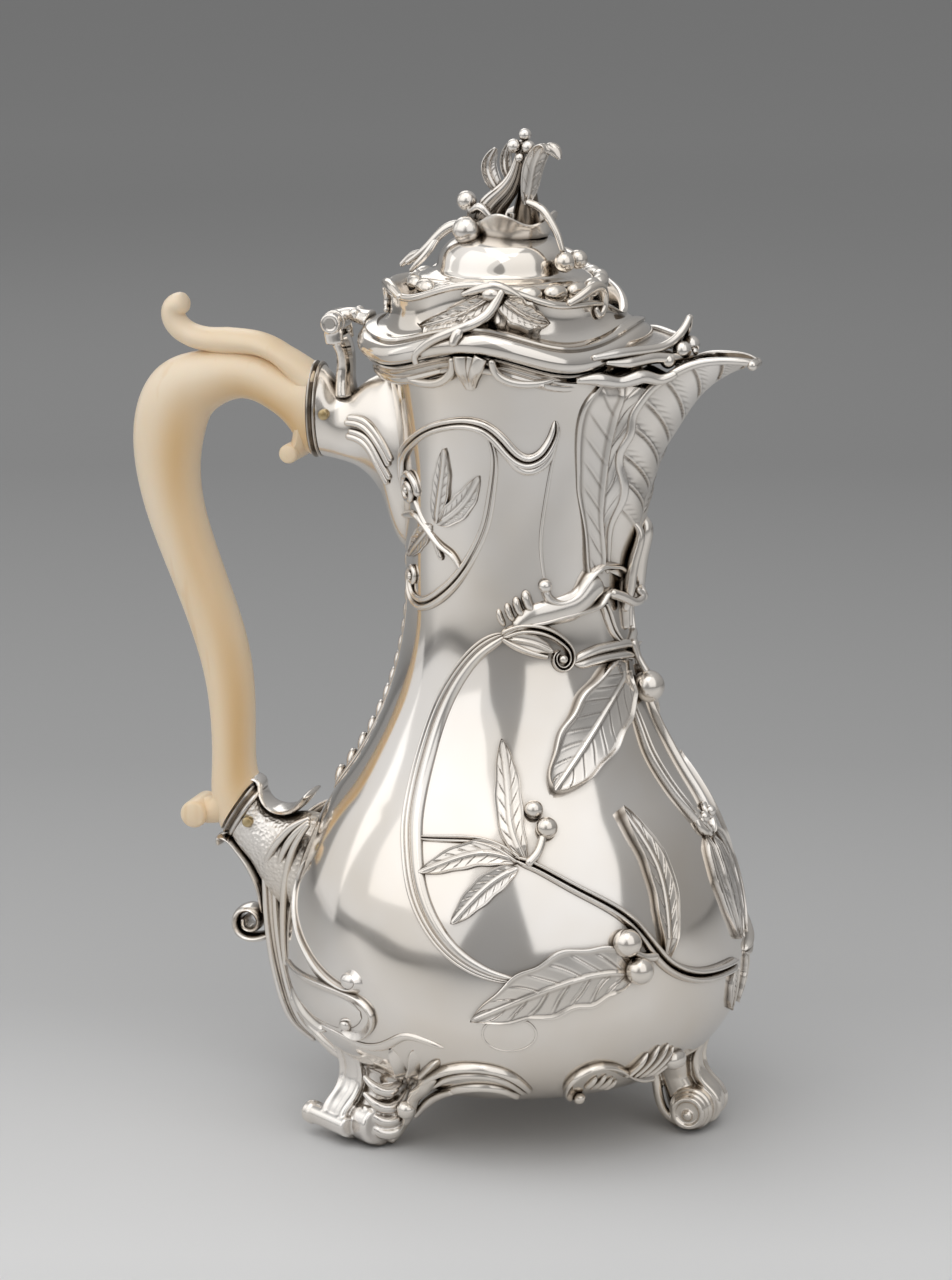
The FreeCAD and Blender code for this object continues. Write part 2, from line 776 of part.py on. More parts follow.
def make_finial():
    top = size("dome_top")
    tip = size("finial_tip")
    core = filled_dome()
    stud = rod(Vector(0, 0, top - STUD_LONG), Vector(0, 0, top + 1), size("stud_radius"))
    foot = rod(Vector(0, 0, top - 1), Vector(0, 0, top + FOOT_TALL), size("finial_foot"))
    stem = joined([flat_tube(FINIAL_STEM, top).cut(core), foot.cut(core), stud])
    solid_piece("finial_stem", stem, x_rule=LID_CENTRE)

    ring = Part.makeTorus(size("wreath_radius"), size("wreath_tube"), Vector(0, 0, top - WREATH_DROP))
    wreath = joined([ring] + [flat_tube(twig, top) for twig in WREATH_TWIGS]).cut(core)
    solid_piece("finial_wreath", wreath, x_rule=LID_CENTRE)

    leaves = []
    thick = size("finial_leaf_thick")
    for *outline, half_width in FINIAL_LEAVES:
        places = flat(*[(x, top + rise) for x, rise in outline])
        leaf = leaf_prism(*places, half_width, Vector(0, -1, 0), thick).cut(stem)
        leaves.append(max(leaf.Solids, key=lambda solid: solid.Volume))
    solid_piece("finial_leaves", group(leaves), x_rule=LID_CENTRE)

    cluster = [ball(Vector(x, y, tip - depth), radius) for x, y, depth, radius in TOP_BERRIES]
    drops = [ball(Vector(x, y, top + rise), radius) for x, y, rise, radius in WREATH_BERRIES]
    berries = [berry.cut(wreath).cut(core) for berry in drops]
    berries.append(joined(cluster).cut(stem).cut(group(leaves)))
    solid_piece("finial_berries", group(berries), x_rule=LID_CENTRE)


def make_finial_nut():
    nut = primitive("Part::Prism", "nut_blank", {"Height": "nut_tall"})
    nut.Polygon = 6
    nut.setExpression("Circumradius", bound("nut_across") + " / sqrt(3)")
    bore = primitive("Part::Cylinder", "nut_bore", {"Radius": "stud_radius", "Height": "nut_tall"})
    cut = doc.addObject("Part::Cut", "finial_nut")
    cut.Base = nut
    cut.Tool = bore
    cut.setExpression("Placement.Base.z", bound("dome_top - wall - wall - nut_tall"))
    piece(cut, "finial_nut", LID_CENTRE)


# Spout cover: the leaf on the lid that closes the spout's root, with two berries on each side
COVER_EDGE = [(38, 13), (47, 8.5), (53, 0), (47, -8.5), (38, -13)]
COVER_CURL = [
    # x, height above the cover's underside, radius
    (44, 1.5, 2.4),
    (49, 4.5, 2.2),
    (49.4, 9.0, 1.2),
]
COVER_BERRIES = [
    # x, distance from the middle, height above the cover's underside, radius
    (49.1, 5.4, 3.6, 2.9),
    (46.0, 8.2, 3.0, 2.6),
]


def make_spout_cover():
    low = worth("spout_lip + cover_gap")
    edge = [Vector(x, y, low) for x, y in COVER_EDGE]
    outline = Part.Wire([spline(edge).toShape(), Part.makeLine(edge[-1], edge[0])])
    leaf = Part.Face(outline).extrude(UP * size("cover_thick"))
    rim = in_pot_frame("lid_rim")
    cover = joined([leaf, flat_tube(COVER_CURL, low)]).cut(rim).cut(in_pot_frame("lid_gallery"))
    solid_piece("spout_cover", max(cover.Solids, key=lambda solid: solid.Volume))
    berries = []
    for hand in (1, -1):
        for x, y, lift, radius in COVER_BERRIES:
            berries.append(ball(Vector(x, hand * y, low + lift), radius).cut(cover).cut(rim))
    solid_piece("cover_berries", group(berries))


# Hinge: a forked bracket on the upper socket, the lid's leaf between its knuckles, and the pin
def make_hinge_bracket():
    body = new_body("hinge_bracket")
    strut = sketch_on(body, "strut", "XZ_Plane")
    polygon(
        strut,
        [
            ("hinge_x - strut_deep + knuckle_half", "strut_foot"),
            ("hinge_x + strut_deep", "strut_foot"),
            ("hinge_x + knuckle_half", "hinge_height"),
            ("hinge_x - knuckle_half", "hinge_height"),
        ],
    )
    pad_both_ways(body, strut, "hinge_half")
    knuckle = sketch_on(body, "outer_knuckle", "XZ_Plane")
    circle(knuckle, "knuckle_radius", "hinge_x", "hinge_height")
    pad_both_ways(body, knuckle, "hinge_half")
    fork = sketch_on(body, "fork_slot", "XZ_Plane")
    circle(fork, "knuckle_radius + hinge_gap + hinge_gap", "hinge_x", "hinge_height")
    pocket_both_ways(body, fork, "knuckle_half + hinge_gap")
    bore = sketch_on(body, "pin_bore", "XZ_Plane")
    circle(bore, "pin_radius", "hinge_x", "hinge_height")
    pocket_both_ways(body, bore, "hinge_half + hinge_half")
    piece(body, "hinge_bracket")


def make_lid_hinge_leaf():
    body = new_body("lid_hinge_leaf")
    arm = sketch_on(body, "arm", "XZ_Plane")
    polygon(
        arm,
        [
            ("hinge_x", "hinge_height"),
            ("lid_shift - ring_outer + wall", "hinge_height"),
            ("lid_shift - ring_outer + wall", "hinge_height + knuckle_radius"),
            ("hinge_x", "hinge_height + knuckle_radius"),
        ],
    )
    pad_both_ways(body, arm, "knuckle_half")
    knuckle = sketch_on(body, "middle_knuckle", "XZ_Plane")
    circle(knuckle, "knuckle_radius", "hinge_x", "hinge_height")
    pad_both_ways(body, knuckle, "knuckle_half")
    bore = sketch_on(body, "leaf_bore", "XZ_Plane")
    circle(bore, "pin_radius + pin_play", "hinge_x", "hinge_height")
    pocket_both_ways(body, bore, "hinge_half")
    piece(body, "lid_hinge_leaf")


def make_cross_pin(name, radius_rule, half_rule, x_offset, height):
    """A round pin lying across the pot, centred on its middle plane; its place is given by expressions."""
    pin = primitive("Part::Cylinder", name, {"Radius": radius_rule})
    pin.setExpression("Height", f"2 * ({bound(half_rule)})")
    pin.Placement = Placement(ORIGIN, Rotation(Vector(1, 0, 0), -90))
    pin.setExpression("Placement.Base.y", f"-1 * ({bound(half_rule)})")
    pin.setExpression("Placement.Base.z", height)
    piece(pin, name)
    pin.setExpression("Placement.Base.x", f"{bound('axis_x')} + {x_offset}")


def make_pins():
    slope = "sizes.low_socket_slope * 1deg"
    half_tenon = "sizes.tenon_long / 2"
    make_cross_pin(
        "hinge_pin", "pin_radius", "hinge_half + rivet_proud", bound("hinge_x"), bound("hinge_height")
    )
    make_cross_pin(
        "upper_handle_pin",
        "rivet_radius",
        "socket_half + rivet_proud",
        f"{bound('socket_x')} + {half_tenon}",
        bound("socket_height"),
    )
    make_cross_pin(
        "lower_handle_pin",
        "rivet_radius",
        "low_socket_half + rivet_proud",
        f"{bound('low_socket_x')} + {half_tenon} * cos({slope})",
        f"{bound('low_socket_height')} - {half_tenon} * sin({slope})",
    )


# Handle sockets
def low_socket_axis():
    """Direction in which the lower socket opens, up and back towards the handle."""
    slope = math.radians(size("low_socket_slope"))
    return Vector(-math.cos(slope), 0, math.sin(slope))


def socket_places():
    upper = Vector(size("socket_x"), 0, size("socket_height"))
    lower = Vector(size("low_socket_x"), 0, size("low_socket_height"))
    return upper, lower


def rivet_places():
    """Where the two pins cross the tenons, half way along them."""
    upper, lower = socket_places()
    half = size("tenon_long") / 2
    return upper + Vector(half, 0, 0), lower - low_socket_axis() * half


def cross_hole(centre, radius):
    reach = 2 * size("socket_half")
    return rod(centre - SIDE * reach, centre + SIDE * reach, radius)


HORN_SECTIONS = [
    # distance in from the face, drop, half height, half width
    (5, 3.0, 10.6, 8.4),
    (13, 6.0, 10.6, 8.4),
    (22, 8.5, 17.0, 11.5),
    (29, 9.5, 21.0, 13.0),
]
CUP_SECTIONS = [(11, 0.0, 8.6, 7.6), (20, 0.0, 10.0, 9.0), (32, 0.0, 15.0, 12.0)]


def make_socket(name, face, inward, tall, half, sections, pin_place):
    """A ferrule and a horn that grows from it to the body, bored for the handle's tenon and its pin."""
    step = size("ferrule_step")
    rings = [ellipse_ring(face, inward, tall - step, half - step)]
    for distance, drop, high, wide in sections:
        rings.append(ellipse_ring(face + inward * distance - UP * drop, inward, high, wide))
    ferrule = Part.Face(ellipse_ring(face, inward, tall, half)).extrude(inward * size("ferrule_deep"))
    shape = seated(joined([Part.makeLoft(rings, True), ferrule]))
    shape = shape.cut(rod(face - inward, face + inward * (size("tenon_long") + 1), size("tenon_radius")))
    shape = shape.cut(cross_hole(pin_place, size("rivet_radius")))
    solid_piece(name, max(shape.Solids, key=lambda solid: solid.Volume))


def make_sockets():
    upper, lower = socket_places()
    upper_pin, lower_pin = rivet_places()
    tall, half = size("socket_tall"), size("socket_half")
    make_socket("upper_socket", upper, Vector(1, 0, 0), tall, half, HORN_SECTIONS, upper_pin)
    tall, half = size("low_socket_tall"), size("low_socket_half")
    make_socket("lower_socket", lower, low_socket_axis() * -1, tall, half, CUP_SECTIONS, lower_pin)


# Ivory handle: a curved grip with a thumb scroll, two end curls and a tenon at each end
GRIP_SECTIONS = [
    # x, height, direction along the grip in degrees, half height, share of the grip's depth
    (-62.2, 206.3, 180, 13.8, 1.12),
    (-69.0, 209.8, 155, 10.6, 1.06),
    (-80.0, 214.6, 165, 8.4, 1.0),
    (-92.5, 214.0, 198, 9.0, 1.04),
    (-101.8, 208.8, 226, 10.8, 1.14),
    (-106.2, 199.0, 250, 10.8, 1.16),
    (-106.8, 186.5, 270, 9.6, 1.12),
    (-103.6, 170.8, 286, 8.4, 1.05),
    (-97.0, 152.8, 291, 7.8, 1.0),
    (-90.9, 135.4, 289, 7.6, 0.95),
    (-87.8, 117.4, 276, 6.9, 0.9),
    (-87.4, 101.0, 270, 6.5, 0.86),
    (-87.2, 92.5, 288, 7.4, 0.9),
]

THUMB_SCROLL = [
    # x, height, radius
    (-66, 217, 3.0),
    (-74, 222.6, 3.6),
    (-84, 224.2, 3.8),
    (-94, 225.2, 4.2),
    (-101.5, 229, 3.9),
    (-104, 234, 3.0),
    (-101, 236, 2.2),
]
HANDLE_CURLS = [
    # x, height, half length, radius
    (-66.6, 193.6, 6.0, 3.7),
    (-97.0, 83.2, 5.2, 4.2),
]
CURL_WEB = [(-97.0, 83.2, 3.8), (-93.0, 85.0, 4.0), (-89.0, 88.0, 4.4)]


def behind(face, outward):
    """The room on a socket's side of its face."""
    room = 5 * size("grip_depth")
    block = Part.makeBox(2 * room, 2 * room, room, Vector(-room, -room, -room))
    block.Placement = Placement(face, Rotation(UP, outward))
    return block


def make_handle():
    upper, lower = socket_places()
    axis = low_socket_axis()
    depth = size("grip_depth")
    gap = size("handle_gap")
    rings = []
    for x, height, heading, half, share in GRIP_SECTIONS:
        angle = math.radians(heading)
        along = Vector(math.cos(angle), 0, math.sin(angle))
        rings.append(ellipse_ring(Vector(x, 0, height), along, half, depth * share))
    end_half = size("low_socket_half") - size("ferrule_step")
    rings.append(ellipse_ring(lower + axis * gap, axis * -1, size("low_socket_tall") - gap, end_half))
    curls = []
    for x, height, half, radius in HANDLE_CURLS:
        curls.append(rod(Vector(x, -half, height), Vector(x, half, height), radius))
    tenon = size("tenon_long")
    root = tenon / 4
    upper_tenon = rod(upper - Vector(root, 0, 0), upper + Vector(tenon, 0, 0), size("tenon_radius"))
    lower_tenon = rod(lower + axis * root, lower - axis * tenon, size("tenon_radius"))
    shape = joined([Part.makeLoft(rings, True), flat_tube(THUMB_SCROLL), flat_tube(CURL_WEB)] + curls)
    for face, outward in ((upper, Vector(-1, 0, 0)), (lower, axis)):
        shape = shape.cut(behind(face, outward))
    shape = joined([max(shape.Solids, key=lambda solid: solid.Volume), upper_tenon, lower_tenon])
    for place in rivet_places():
        shape = shape.cut(cross_hole(place, size("rivet_radius")))
    solid_piece("handle", shape)


# Spout: a beak of U-shaped sections, flat against the neck and keeled in front
SPOUT_SECTIONS = [
    # height, keel x, half width at the neck
    (160.0, 33.4, 8.0),
    (173.0, 35.9, 13.0),
    (186.0, 38.4, 16.0),
    (198.0, 42.6, 18.0),
    (209.0, 49.0, 18.6),
    (218.0, 56.6, 18.0),
    (226.4, 71.0, 16.0),
]
SPOUT_BACK = 24.0
# The curve of a section's side, as shares of its reach and of its half width
SPOUT_CURVE = [(0.0, 1.0), (0.42, 0.74), (0.78, 0.36)]
KEEL_THICKENING = 1.3


def spout_section(height, keel, half, inset):
    keel -= inset * KEEL_THICKENING
    half -= inset
    reach = keel - SPOUT_BACK
    side = [Vector(SPOUT_BACK + ahead * reach, -wide * half, height) for ahead, wide in SPOUT_CURVE]
    other = [Vector(place.x, -place.y, height) for place in reversed(side)]
    front = spline(side + [Vector(keel, 0, height)] + other).toShape()
    return Part.Wire([front, Part.makeLine(other[-1], side[0])])


def make_spout():
    outer = Part.makeLoft([spout_section(*row, 0.0) for row in SPOUT_SECTIONS], True)
    inset = size("spout_wall")
    inner = [spout_section(*row, inset) for row in SPOUT_SECTIONS]
    last_height, last_keel, last_half = SPOUT_SECTIONS[-1]
    past_lip = size("ring_tall")
    inner.append(spout_section(last_height + past_lip / 2, last_keel + past_lip, last_half, inset))
    channel = Part.makeLoft(inner, True)
    shape = seated(outer).cut(channel).cut(mouth_bore(2 * size("solder_gap")))
    solid_piece("spout_shell", max(shape.Solids, key=lambda solid: solid.Volume))
    return outer


# Leaves on the body: base, middle and tip as (bearing, height), then half width
SPOUT_LEAF = [(30, 162), (36, 192), (34, 218), 4.6]
PENDANT_LEAF = [(14, 138), (38, 124), (59, 109), 8.0]
FRONT_LEAF = [(0, 86), (0, 73), (0, 60), 4.6]
NECK_LEAVES = [
    [(118, 176), (116, 188), (115, 200), 3.4],
    [(112, 178), (102, 183), (93, 187), 3.0],
    [(126, 171), (140, 166), (154, 160), 3.0],
]
BRANCH_LEAVES = [
    [(72, 91), (76, 104), (79, 120), 4.2],
    [(79, 90), (89, 88), (101, 85), 3.6],
    [(74, 87), (81, 81), (90, 73), 3.6],
    [(48, 62), (65, 57), (84, 47), 7.4],
    [(36, 64), (34, 81), (39, 99), 3.6],
]
# Berries on the body: bearing, height, then lift and radius or radius alone
SPOUT_BERRY = [0, 129, 3.0, 4.6]
BRANCH_BERRIES = [(65.4, 98.0, 3.0), (69.0, 103.5, 2.5), (46.4, 69.0, 4.0), (43.0, 59.0, 4.0)]
BERRY_LIFT = 0.55

# Relief scrolls and stems, each the same on both sides, as (bearing, height)
BELLY_SCROLL = [(46, 146), (58, 151), (75, 151), (93, 145), (107, 133), (112, 118), (108, 98), (100, 79)]
BELLY_SCROLL += [(88, 65), (73, 59)]
NECK_SCROLL = [(146, 186), (151, 194), (134, 203), (112, 210), (91, 211), (74, 201), (60, 204), (58, 211)]
NECK_RING = [(90, 204), (86, 190), (91, 175), (105, 163), (125, 156), (145, 154)]
BRANCH_STEM = [(6, 51), (22, 52), (34, 59), (41, 69), (50, 79), (60, 86), (77, 90), (90, 94), (101, 93)]
ROOT_CURL = [(5, 150), (17, 155), (24, 148)]
ROOT_SCROLL = [(62, 163), (51, 157), (37, 158), (27, 164), (16, 165), (9, 160)]
FRONT_SCROLL = [(16, 127), (15, 113), (11, 100), (6, 88)]
REAR_SCROLL = [(157, 74), (142, 67), (130, 57), (119, 52), (116, 57)]


def make_spout_leaves(spout):
    """Long leaf beside the spout, sheath curls at its root, and pendant leaves with a berry below."""
    bold = size("scroll_tube")
    root = body_scroll(ROOT_SCROLL, [0.7 * bold, bold, bold, 0.8 * bold])
    curl = body_scroll(ROOT_CURL, [0.7 * bold, bold, bold, 0.6 * bold]).cut(spout).cut(root)
    pair("spout_root_scroll", group([root.cut(spout), max(curl.Solids, key=lambda solid: solid.Volume)]))
    leaf = body_leaf(*SPOUT_LEAF).cut(spout).cut(root)
    pair("spout_leaf", max(leaf.Solids, key=lambda solid: solid.Volume))
    pair("spout_pendant_leaf", body_leaf(*PENDANT_LEAF))
    *place, radius = SPOUT_BERRY
    solid_piece("spout_berry", seated(ball(spot(*place), radius)))


def make_relief():
    thin = size("stem_tube")
    bold = size("scroll_tube")
    belly = body_scroll(BELLY_SCROLL, [0.8 * bold, bold, bold, bold, 1.2 * bold, bold, 0.7 * bold])
    pair("belly_scroll", belly)
    pair("neck_scroll", body_scroll(NECK_SCROLL, [bold, thin, thin, bold, bold]))
    ring = body_scroll(NECK_RING, [0.6 * thin, thin, thin])
    pair("neck_sprig", group([ring] + [body_leaf(*leaf) for leaf in NECK_LEAVES]))
    stem = body_scroll(BRANCH_STEM, [1.3 * thin, thin, thin, thin, 0.6 * thin])
    pair("coffee_branch", stem)
    leaves = [body_leaf(*leaf).cut(stem).cut(belly) for leaf in BRANCH_LEAVES]
    pair("branch_leaves", group([max(leaf.Solids, key=lambda solid: solid.Volume) for leaf in leaves]))
    seats = group(leaves).fuse(stem)
    berries = []
    for bearing, height, radius in BRANCH_BERRIES:
        berries.append(seated(ball(spot(bearing, height, BERRY_LIFT * radius), radius)).cut(seats))
    pair("branch_berries", group(berries))
    front = body_scroll(FRONT_SCROLL, [0.8 * thin, bold, bold, 0.8 * thin])
    solid_piece("front_scrolls", group([front, front.mirror(ORIGIN, SIDE)]))
    pair("rear_scroll", body_scroll(REAR_SCROLL, [thin, bold, bold, 0.8 * thin]))
    solid_piece("front_leaf", body_leaf(*FRONT_LEAF))


# Back of the pot: scalloped spine below the upper socket and the strap with its volute below the lower one
SPINE_HEIGHTS = range(108, 178, 10)
SCALLOP_HALF = 6.5
SCALLOP_RADII = [2.0, 3.6, 2.0]
LOWER_STRAP = [
    # x, height, radius
    (-72, 76, 3.0),
    (-76.5, 66, 3.2),
    (-76.0, 54, 3.0),
    (-74.0, 42, 3.0),
    (-70.0, 30, 3.0),
    (-63.0, 21, 3.0),
    (-55.0, 17.5, 2.4),
]
VOLUTE_NECK = [(-77.0, 60.0, 2.6), (-79.5, 56.0, 2.4), (-81.5, 50.5, 2.4)]
# x, height, half length, radius
VOLUTE = (-82.0, 49.5, 4.5, 4.2)
SOCKET_STRAP = [(-47.0, 9.0, 202.0), (-41.0, 13.0, 196.0), (-34.0, 15.0, 184.0)]
STRAP_RADII = [1.6, 2.2, 1.8]
STRAP_PITCH = 7.0


def make_back():
    spine = []
    for height in SPINE_HEIGHTS:
        scallop = spots([(180, height + rise) for rise in (-SCALLOP_HALF, 0, SCALLOP_HALF)])
        spine.append(tube(scallop, SCALLOP_RADII))
    solid_piece("back_spine", seated(joined(spine)))
    x, height, half, radius = VOLUTE
    volute = rod(Vector(x, -half, height), Vector(x, half, height), radius)
    strap = seated(joined([flat_tube(LOWER_STRAP), flat_tube(VOLUTE_NECK), volute]))
    strap = strap.cut(in_pot_frame("lower_socket"))
    solid_piece("lower_strap", max(strap.Solids, key=lambda solid: solid.Volume))
    socket = in_pot_frame("upper_socket")
    straps = []
    for hand in (1, -1):
        for drop in (0, STRAP_PITCH):
            route = [Vector(x, hand * y, height - drop) for x, y, height in SOCKET_STRAP]
            straps.append(seated(tube(route, STRAP_RADII)).cut(socket))
    solid_piece("socket_straps", group(straps))


# Feet: a scroll roll on a leg, with ringed eyes, and the aprons between them
LEG_FRONT = [(58.0, 28.0), (57.0, 20.0), (59.0, 12.0), (57.0, 9.2)]
LEG_BACK = [(48.5, 4.2), (46.5, 11.0), (45.0, 16.0), (40.0, 19.0)]
LEG_SHARE = 0.75
# Aprons as (bearing, height)
SIDE_APRONS = [
    [(104, 22), (96, 28), (88, 31), (80, 30.5), (72, 24)],
    [(56, 20), (58, 26), (52, 31), (43, 27.5), (34, 23.5), (25, 21.5)],
]
REAR_APRON = [(140, 21.5), (150, 26.5), (160, 29.5), (170, 30), (177, 28)]


def make_feet():
    roll = size("foot_roll")
    half = size("foot_half")
    centre = Vector(size("foot_reach"), 0, roll - size("foot_flat"))
    bar = rod(centre - SIDE * half, centre + SIDE * half, roll)
    eyes = []
    for hand in (1, -1):
        face = centre + SIDE * (hand * half)
        outside = face + SIDE * (hand * size("eye_proud"))
        eyes.append(rod(centre, outside, size("eye_radius")))
        eyes.append(ball(outside, size("button_radius")))
    front = flat(*LEG_FRONT)
    back = flat(*LEG_BACK)
    leg_outline = Part.Wire(
        [
            spline(front).toShape(),
            Part.makeLine(front[-1], back[0]),
            spline(back).toShape(),
            Part.makeLine(back[-1], front[0]),
        ]
    )
    leg = Part.Face(leg_outline).extrude(SIDE * (2 * LEG_SHARE * half))
    leg.translate(SIDE * (-LEG_SHARE * half))
    reach = size("foot_reach")
    above_table = Part.makeBox(2 * reach, 2 * reach, reach, Vector(0, -reach, 0))
    foot = seated(joined([bar, leg] + eyes)).common(above_table)
    foot = max(foot.Solids, key=lambda solid: solid.Volume)
    turn = size("foot_bearing")
    solid_piece("foot_front", foot)
    solid_piece("foot_right", foot, -turn)
    solid_piece("foot_left", foot, turn)


def make_aprons():
    scroll = size("scroll_tube")
    radii = [scroll, 1.3 * scroll, 1.2 * scroll, 0.7 * scroll]
    pair("apron", group([body_scroll(route, radii) for route in SIDE_APRONS]))
    rear = body_scroll(REAR_APRON, radii)
    solid_piece("rear_apron", group([rear, rear.mirror(ORIGIN, SIDE)]))


# Build order
make_body_shell()
make_base_plate()
make_mouth_moulding()
make_rim_clasps()
make_lid_rim()
make_gallery()
make_lid_plate()
make_bezel()
make_dome()
doc.recompute()
make_beads()
make_lid_spray()
make_finial()
make_finial_nut()
make_spout_cover()
make_hinge_bracket()
make_lid_hinge_leaf()
make_sockets()
make_handle()
make_pins()
make_spout_leaves(make_spout())
make_relief()
make_back()
make_feet()
make_aprons()
doc.recompute()

failed = [obj.Name for obj in doc.Objects if "Invalid" in obj.State or "Error" in obj.State]
failed += [obj.Label for obj in pieces if obj.Shape.isNull() or not obj.Shape.isValid()]
if failed:
    raise RuntimeError("failed objects: " + ", ".join(failed))
os.makedirs("parts", exist_ok=True)
for obj in pieces:
    obj.Shape.exportStep(f"parts/{obj.Label}.step")
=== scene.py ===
import math

import bmesh
import bpy
import numpy as np
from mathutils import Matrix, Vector

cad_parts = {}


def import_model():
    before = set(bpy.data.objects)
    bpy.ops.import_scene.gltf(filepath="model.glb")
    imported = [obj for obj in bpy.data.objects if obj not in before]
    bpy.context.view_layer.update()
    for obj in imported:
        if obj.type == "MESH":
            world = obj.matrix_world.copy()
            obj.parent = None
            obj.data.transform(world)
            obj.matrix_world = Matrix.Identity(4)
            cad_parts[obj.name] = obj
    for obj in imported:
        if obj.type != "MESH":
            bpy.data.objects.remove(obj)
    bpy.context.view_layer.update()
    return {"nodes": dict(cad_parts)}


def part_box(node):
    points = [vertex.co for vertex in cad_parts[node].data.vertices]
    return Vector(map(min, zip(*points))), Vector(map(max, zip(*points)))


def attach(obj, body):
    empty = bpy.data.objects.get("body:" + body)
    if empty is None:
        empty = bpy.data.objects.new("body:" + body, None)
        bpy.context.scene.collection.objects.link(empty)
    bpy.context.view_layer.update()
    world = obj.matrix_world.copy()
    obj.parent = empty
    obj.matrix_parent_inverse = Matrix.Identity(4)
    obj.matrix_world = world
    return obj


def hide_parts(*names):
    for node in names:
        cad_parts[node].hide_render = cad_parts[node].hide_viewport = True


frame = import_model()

# A rococo silver coffee pot with an ivory handle. Lengths are in millimetres from the pot's own axis, with
# the spout at +x and the near side at -y. Bearings are in degrees from the spout towards the near side.
MM = 0.001


def middle(node):
    low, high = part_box(node)
    return (low + high) / 2 / MM


AXIS_X = middle("base_plate").x
LID_X = middle("lid_plate").x - AXIS_X
UP = np.array([0.0, 0.0, 1.0])
ACROSS = np.array([0.0, 1.0, 0.0])


# Lines and directions
LINE_FINENESS = 12
LEAST_ROWS, MOST_ROWS = 16, 240
BAR_PITCH, BAND_PITCH, SHORT_PITCH, FINE_PITCH = 0.7, 0.6, 0.3, 0.25
SIDES = (1, -1)


def unit(vectors):
    return vectors / np.maximum(np.linalg.norm(vectors, axis=-1, keepdims=True), 1e-9)


def directions(line):
    return unit(np.gradient(line, axis=0))


def bell(distance, width):
    return np.exp(-((distance / width) ** 2))


def blend(values, share):
    """Read evenly spaced values, or a single one, at shares of the way along them."""
    values = np.atleast_1d(np.asarray(values, float))
    return np.interp(share, np.linspace(0, 1, len(values)), values)


def spline(knots, count):
    """A smooth line through the knots, read at evenly spread places."""
    knots = np.asarray(knots, float)
    spans = np.sqrt(np.maximum(np.linalg.norm(np.diff(knots, axis=0), axis=1), 1e-6))
    time = np.concatenate([[0], np.cumsum(spans)])
    size = len(knots)
    system = np.eye(size)
    bend = np.zeros_like(knots)
    for i in range(1, size - 1):
        before, after = spans[i - 1], spans[i]
        system[i, i - 1 : i + 2] = before, 2 * (before + after), after
        bend[i] = 6 * ((knots[i + 1] - knots[i]) / after - (knots[i] - knots[i - 1]) / before)
    bend = np.linalg.solve(system, bend)

    def read(moments):
        i = np.clip(np.searchsorted(time, moments) - 1, 0, size - 2)
        span = spans[i][:, None]
        late = (moments - time[i])[:, None] / span
        early = 1 - late
        curve = (early**3 - early) * bend[i] + (late**3 - late) * bend[i + 1]
        return early * knots[i] + late * knots[i + 1] + curve * span**2 / 6

    moments = np.linspace(0, time[-1], LINE_FINENESS * count)
    steps = np.linalg.norm(np.diff(read(moments), axis=0), axis=1)
    travelled = np.concatenate([[0], np.cumsum(steps)])
    return read(np.interp(np.linspace(0, travelled[-1], count), travelled, moments))


def rows_for(route, pitch):
    """How many rows a line through these points needs for rows about one pitch apart."""
    length = np.linalg.norm(np.diff(np.asarray(route, float), axis=0), axis=1).sum()
    return int(np.clip(length / pitch, LEAST_ROWS, MOST_ROWS))


def flat(points, y=0.0):
    """Points given as (x, height) in an upright plane along the pot."""
    return np.array([(x, y, height) for x, height in points])


def turning(bearing):
    """Turns points about the pot's axis by a bearing, as points @ turning."""
    angle = math.radians(-bearing)
    cosine, sine = math.cos(angle), math.sin(angle)
    return np.array([[cosine, sine, 0], [-sine, cosine, 0], [0, 0, 1]])


def polar(bearing, height, radius, centre_x=0.0):
    angle = np.radians(bearing)
    return np.array([centre_x + radius * np.cos(angle), -radius * np.sin(angle), height])


def rounding(share, start, end):
    """Rises from nothing at both ends of a line, as a round end does."""
    rise = np.ones_like(share)
    for distance, reach in ((share, start), (1 - share, end)):
        if reach > 0:
            rise *= np.sqrt(1 - (1 - np.clip(distance / reach, 0.03, 1)) ** 2)
    return rise


# Shapes, gathered from closed pieces of surface
class Form:
    def __init__(self):
        self.points = []
        self.faces = []
        self.dark = []

    def add(self, points, faces, dark=0.0):
        first = len(self.points)
        points = np.reshape(points, (-1, 3))
        self.points.extend(points.tolist())
        self.dark.extend(np.broadcast_to(np.ravel(dark), len(points)).tolist())
        self.faces.extend([tuple(first + corner for corner in face) for face in faces])

    def loft(self, rings, dark=0.0, closed=False):
        """A skin over closed rings, capped at both ends or joined into a loop."""
        rows, columns = np.shape(rings)[:2]
        faces = []
        for i in range(rows if closed else rows - 1):
            low, high = i * columns, ((i + 1) % rows) * columns
            for j in range(columns):
                k = (j + 1) % columns
                faces.append((low + j, low + k, high + k, high + j))
        if not closed:
            faces.append(tuple(range(columns)))
            faces.append(tuple(range((rows - 1) * columns, rows * columns)))
        self.add(rings, faces, dark)

    def changed(self, matrix):
        other = Form()
        other.add(np.array(self.points) @ matrix, self.faces, np.array(self.dark))
        return other

    def mirrored(self):
        """The same shape on the other side of the pot."""
        return self.changed(np.diag([1.0, -1.0, 1.0]))

    def moved(self, change):
        """The same shape with its points put through a change."""
        self.points = change(np.array(self.points)).tolist()
        return self

    def join(self, other):
        self.add(np.array(other.points), other.faces, np.array(other.dark))
        return self


CAP_LEANS = np.radians([75, 50, 25])
ANY_SIDE = np.array([0.3, 0.5, 0.8])


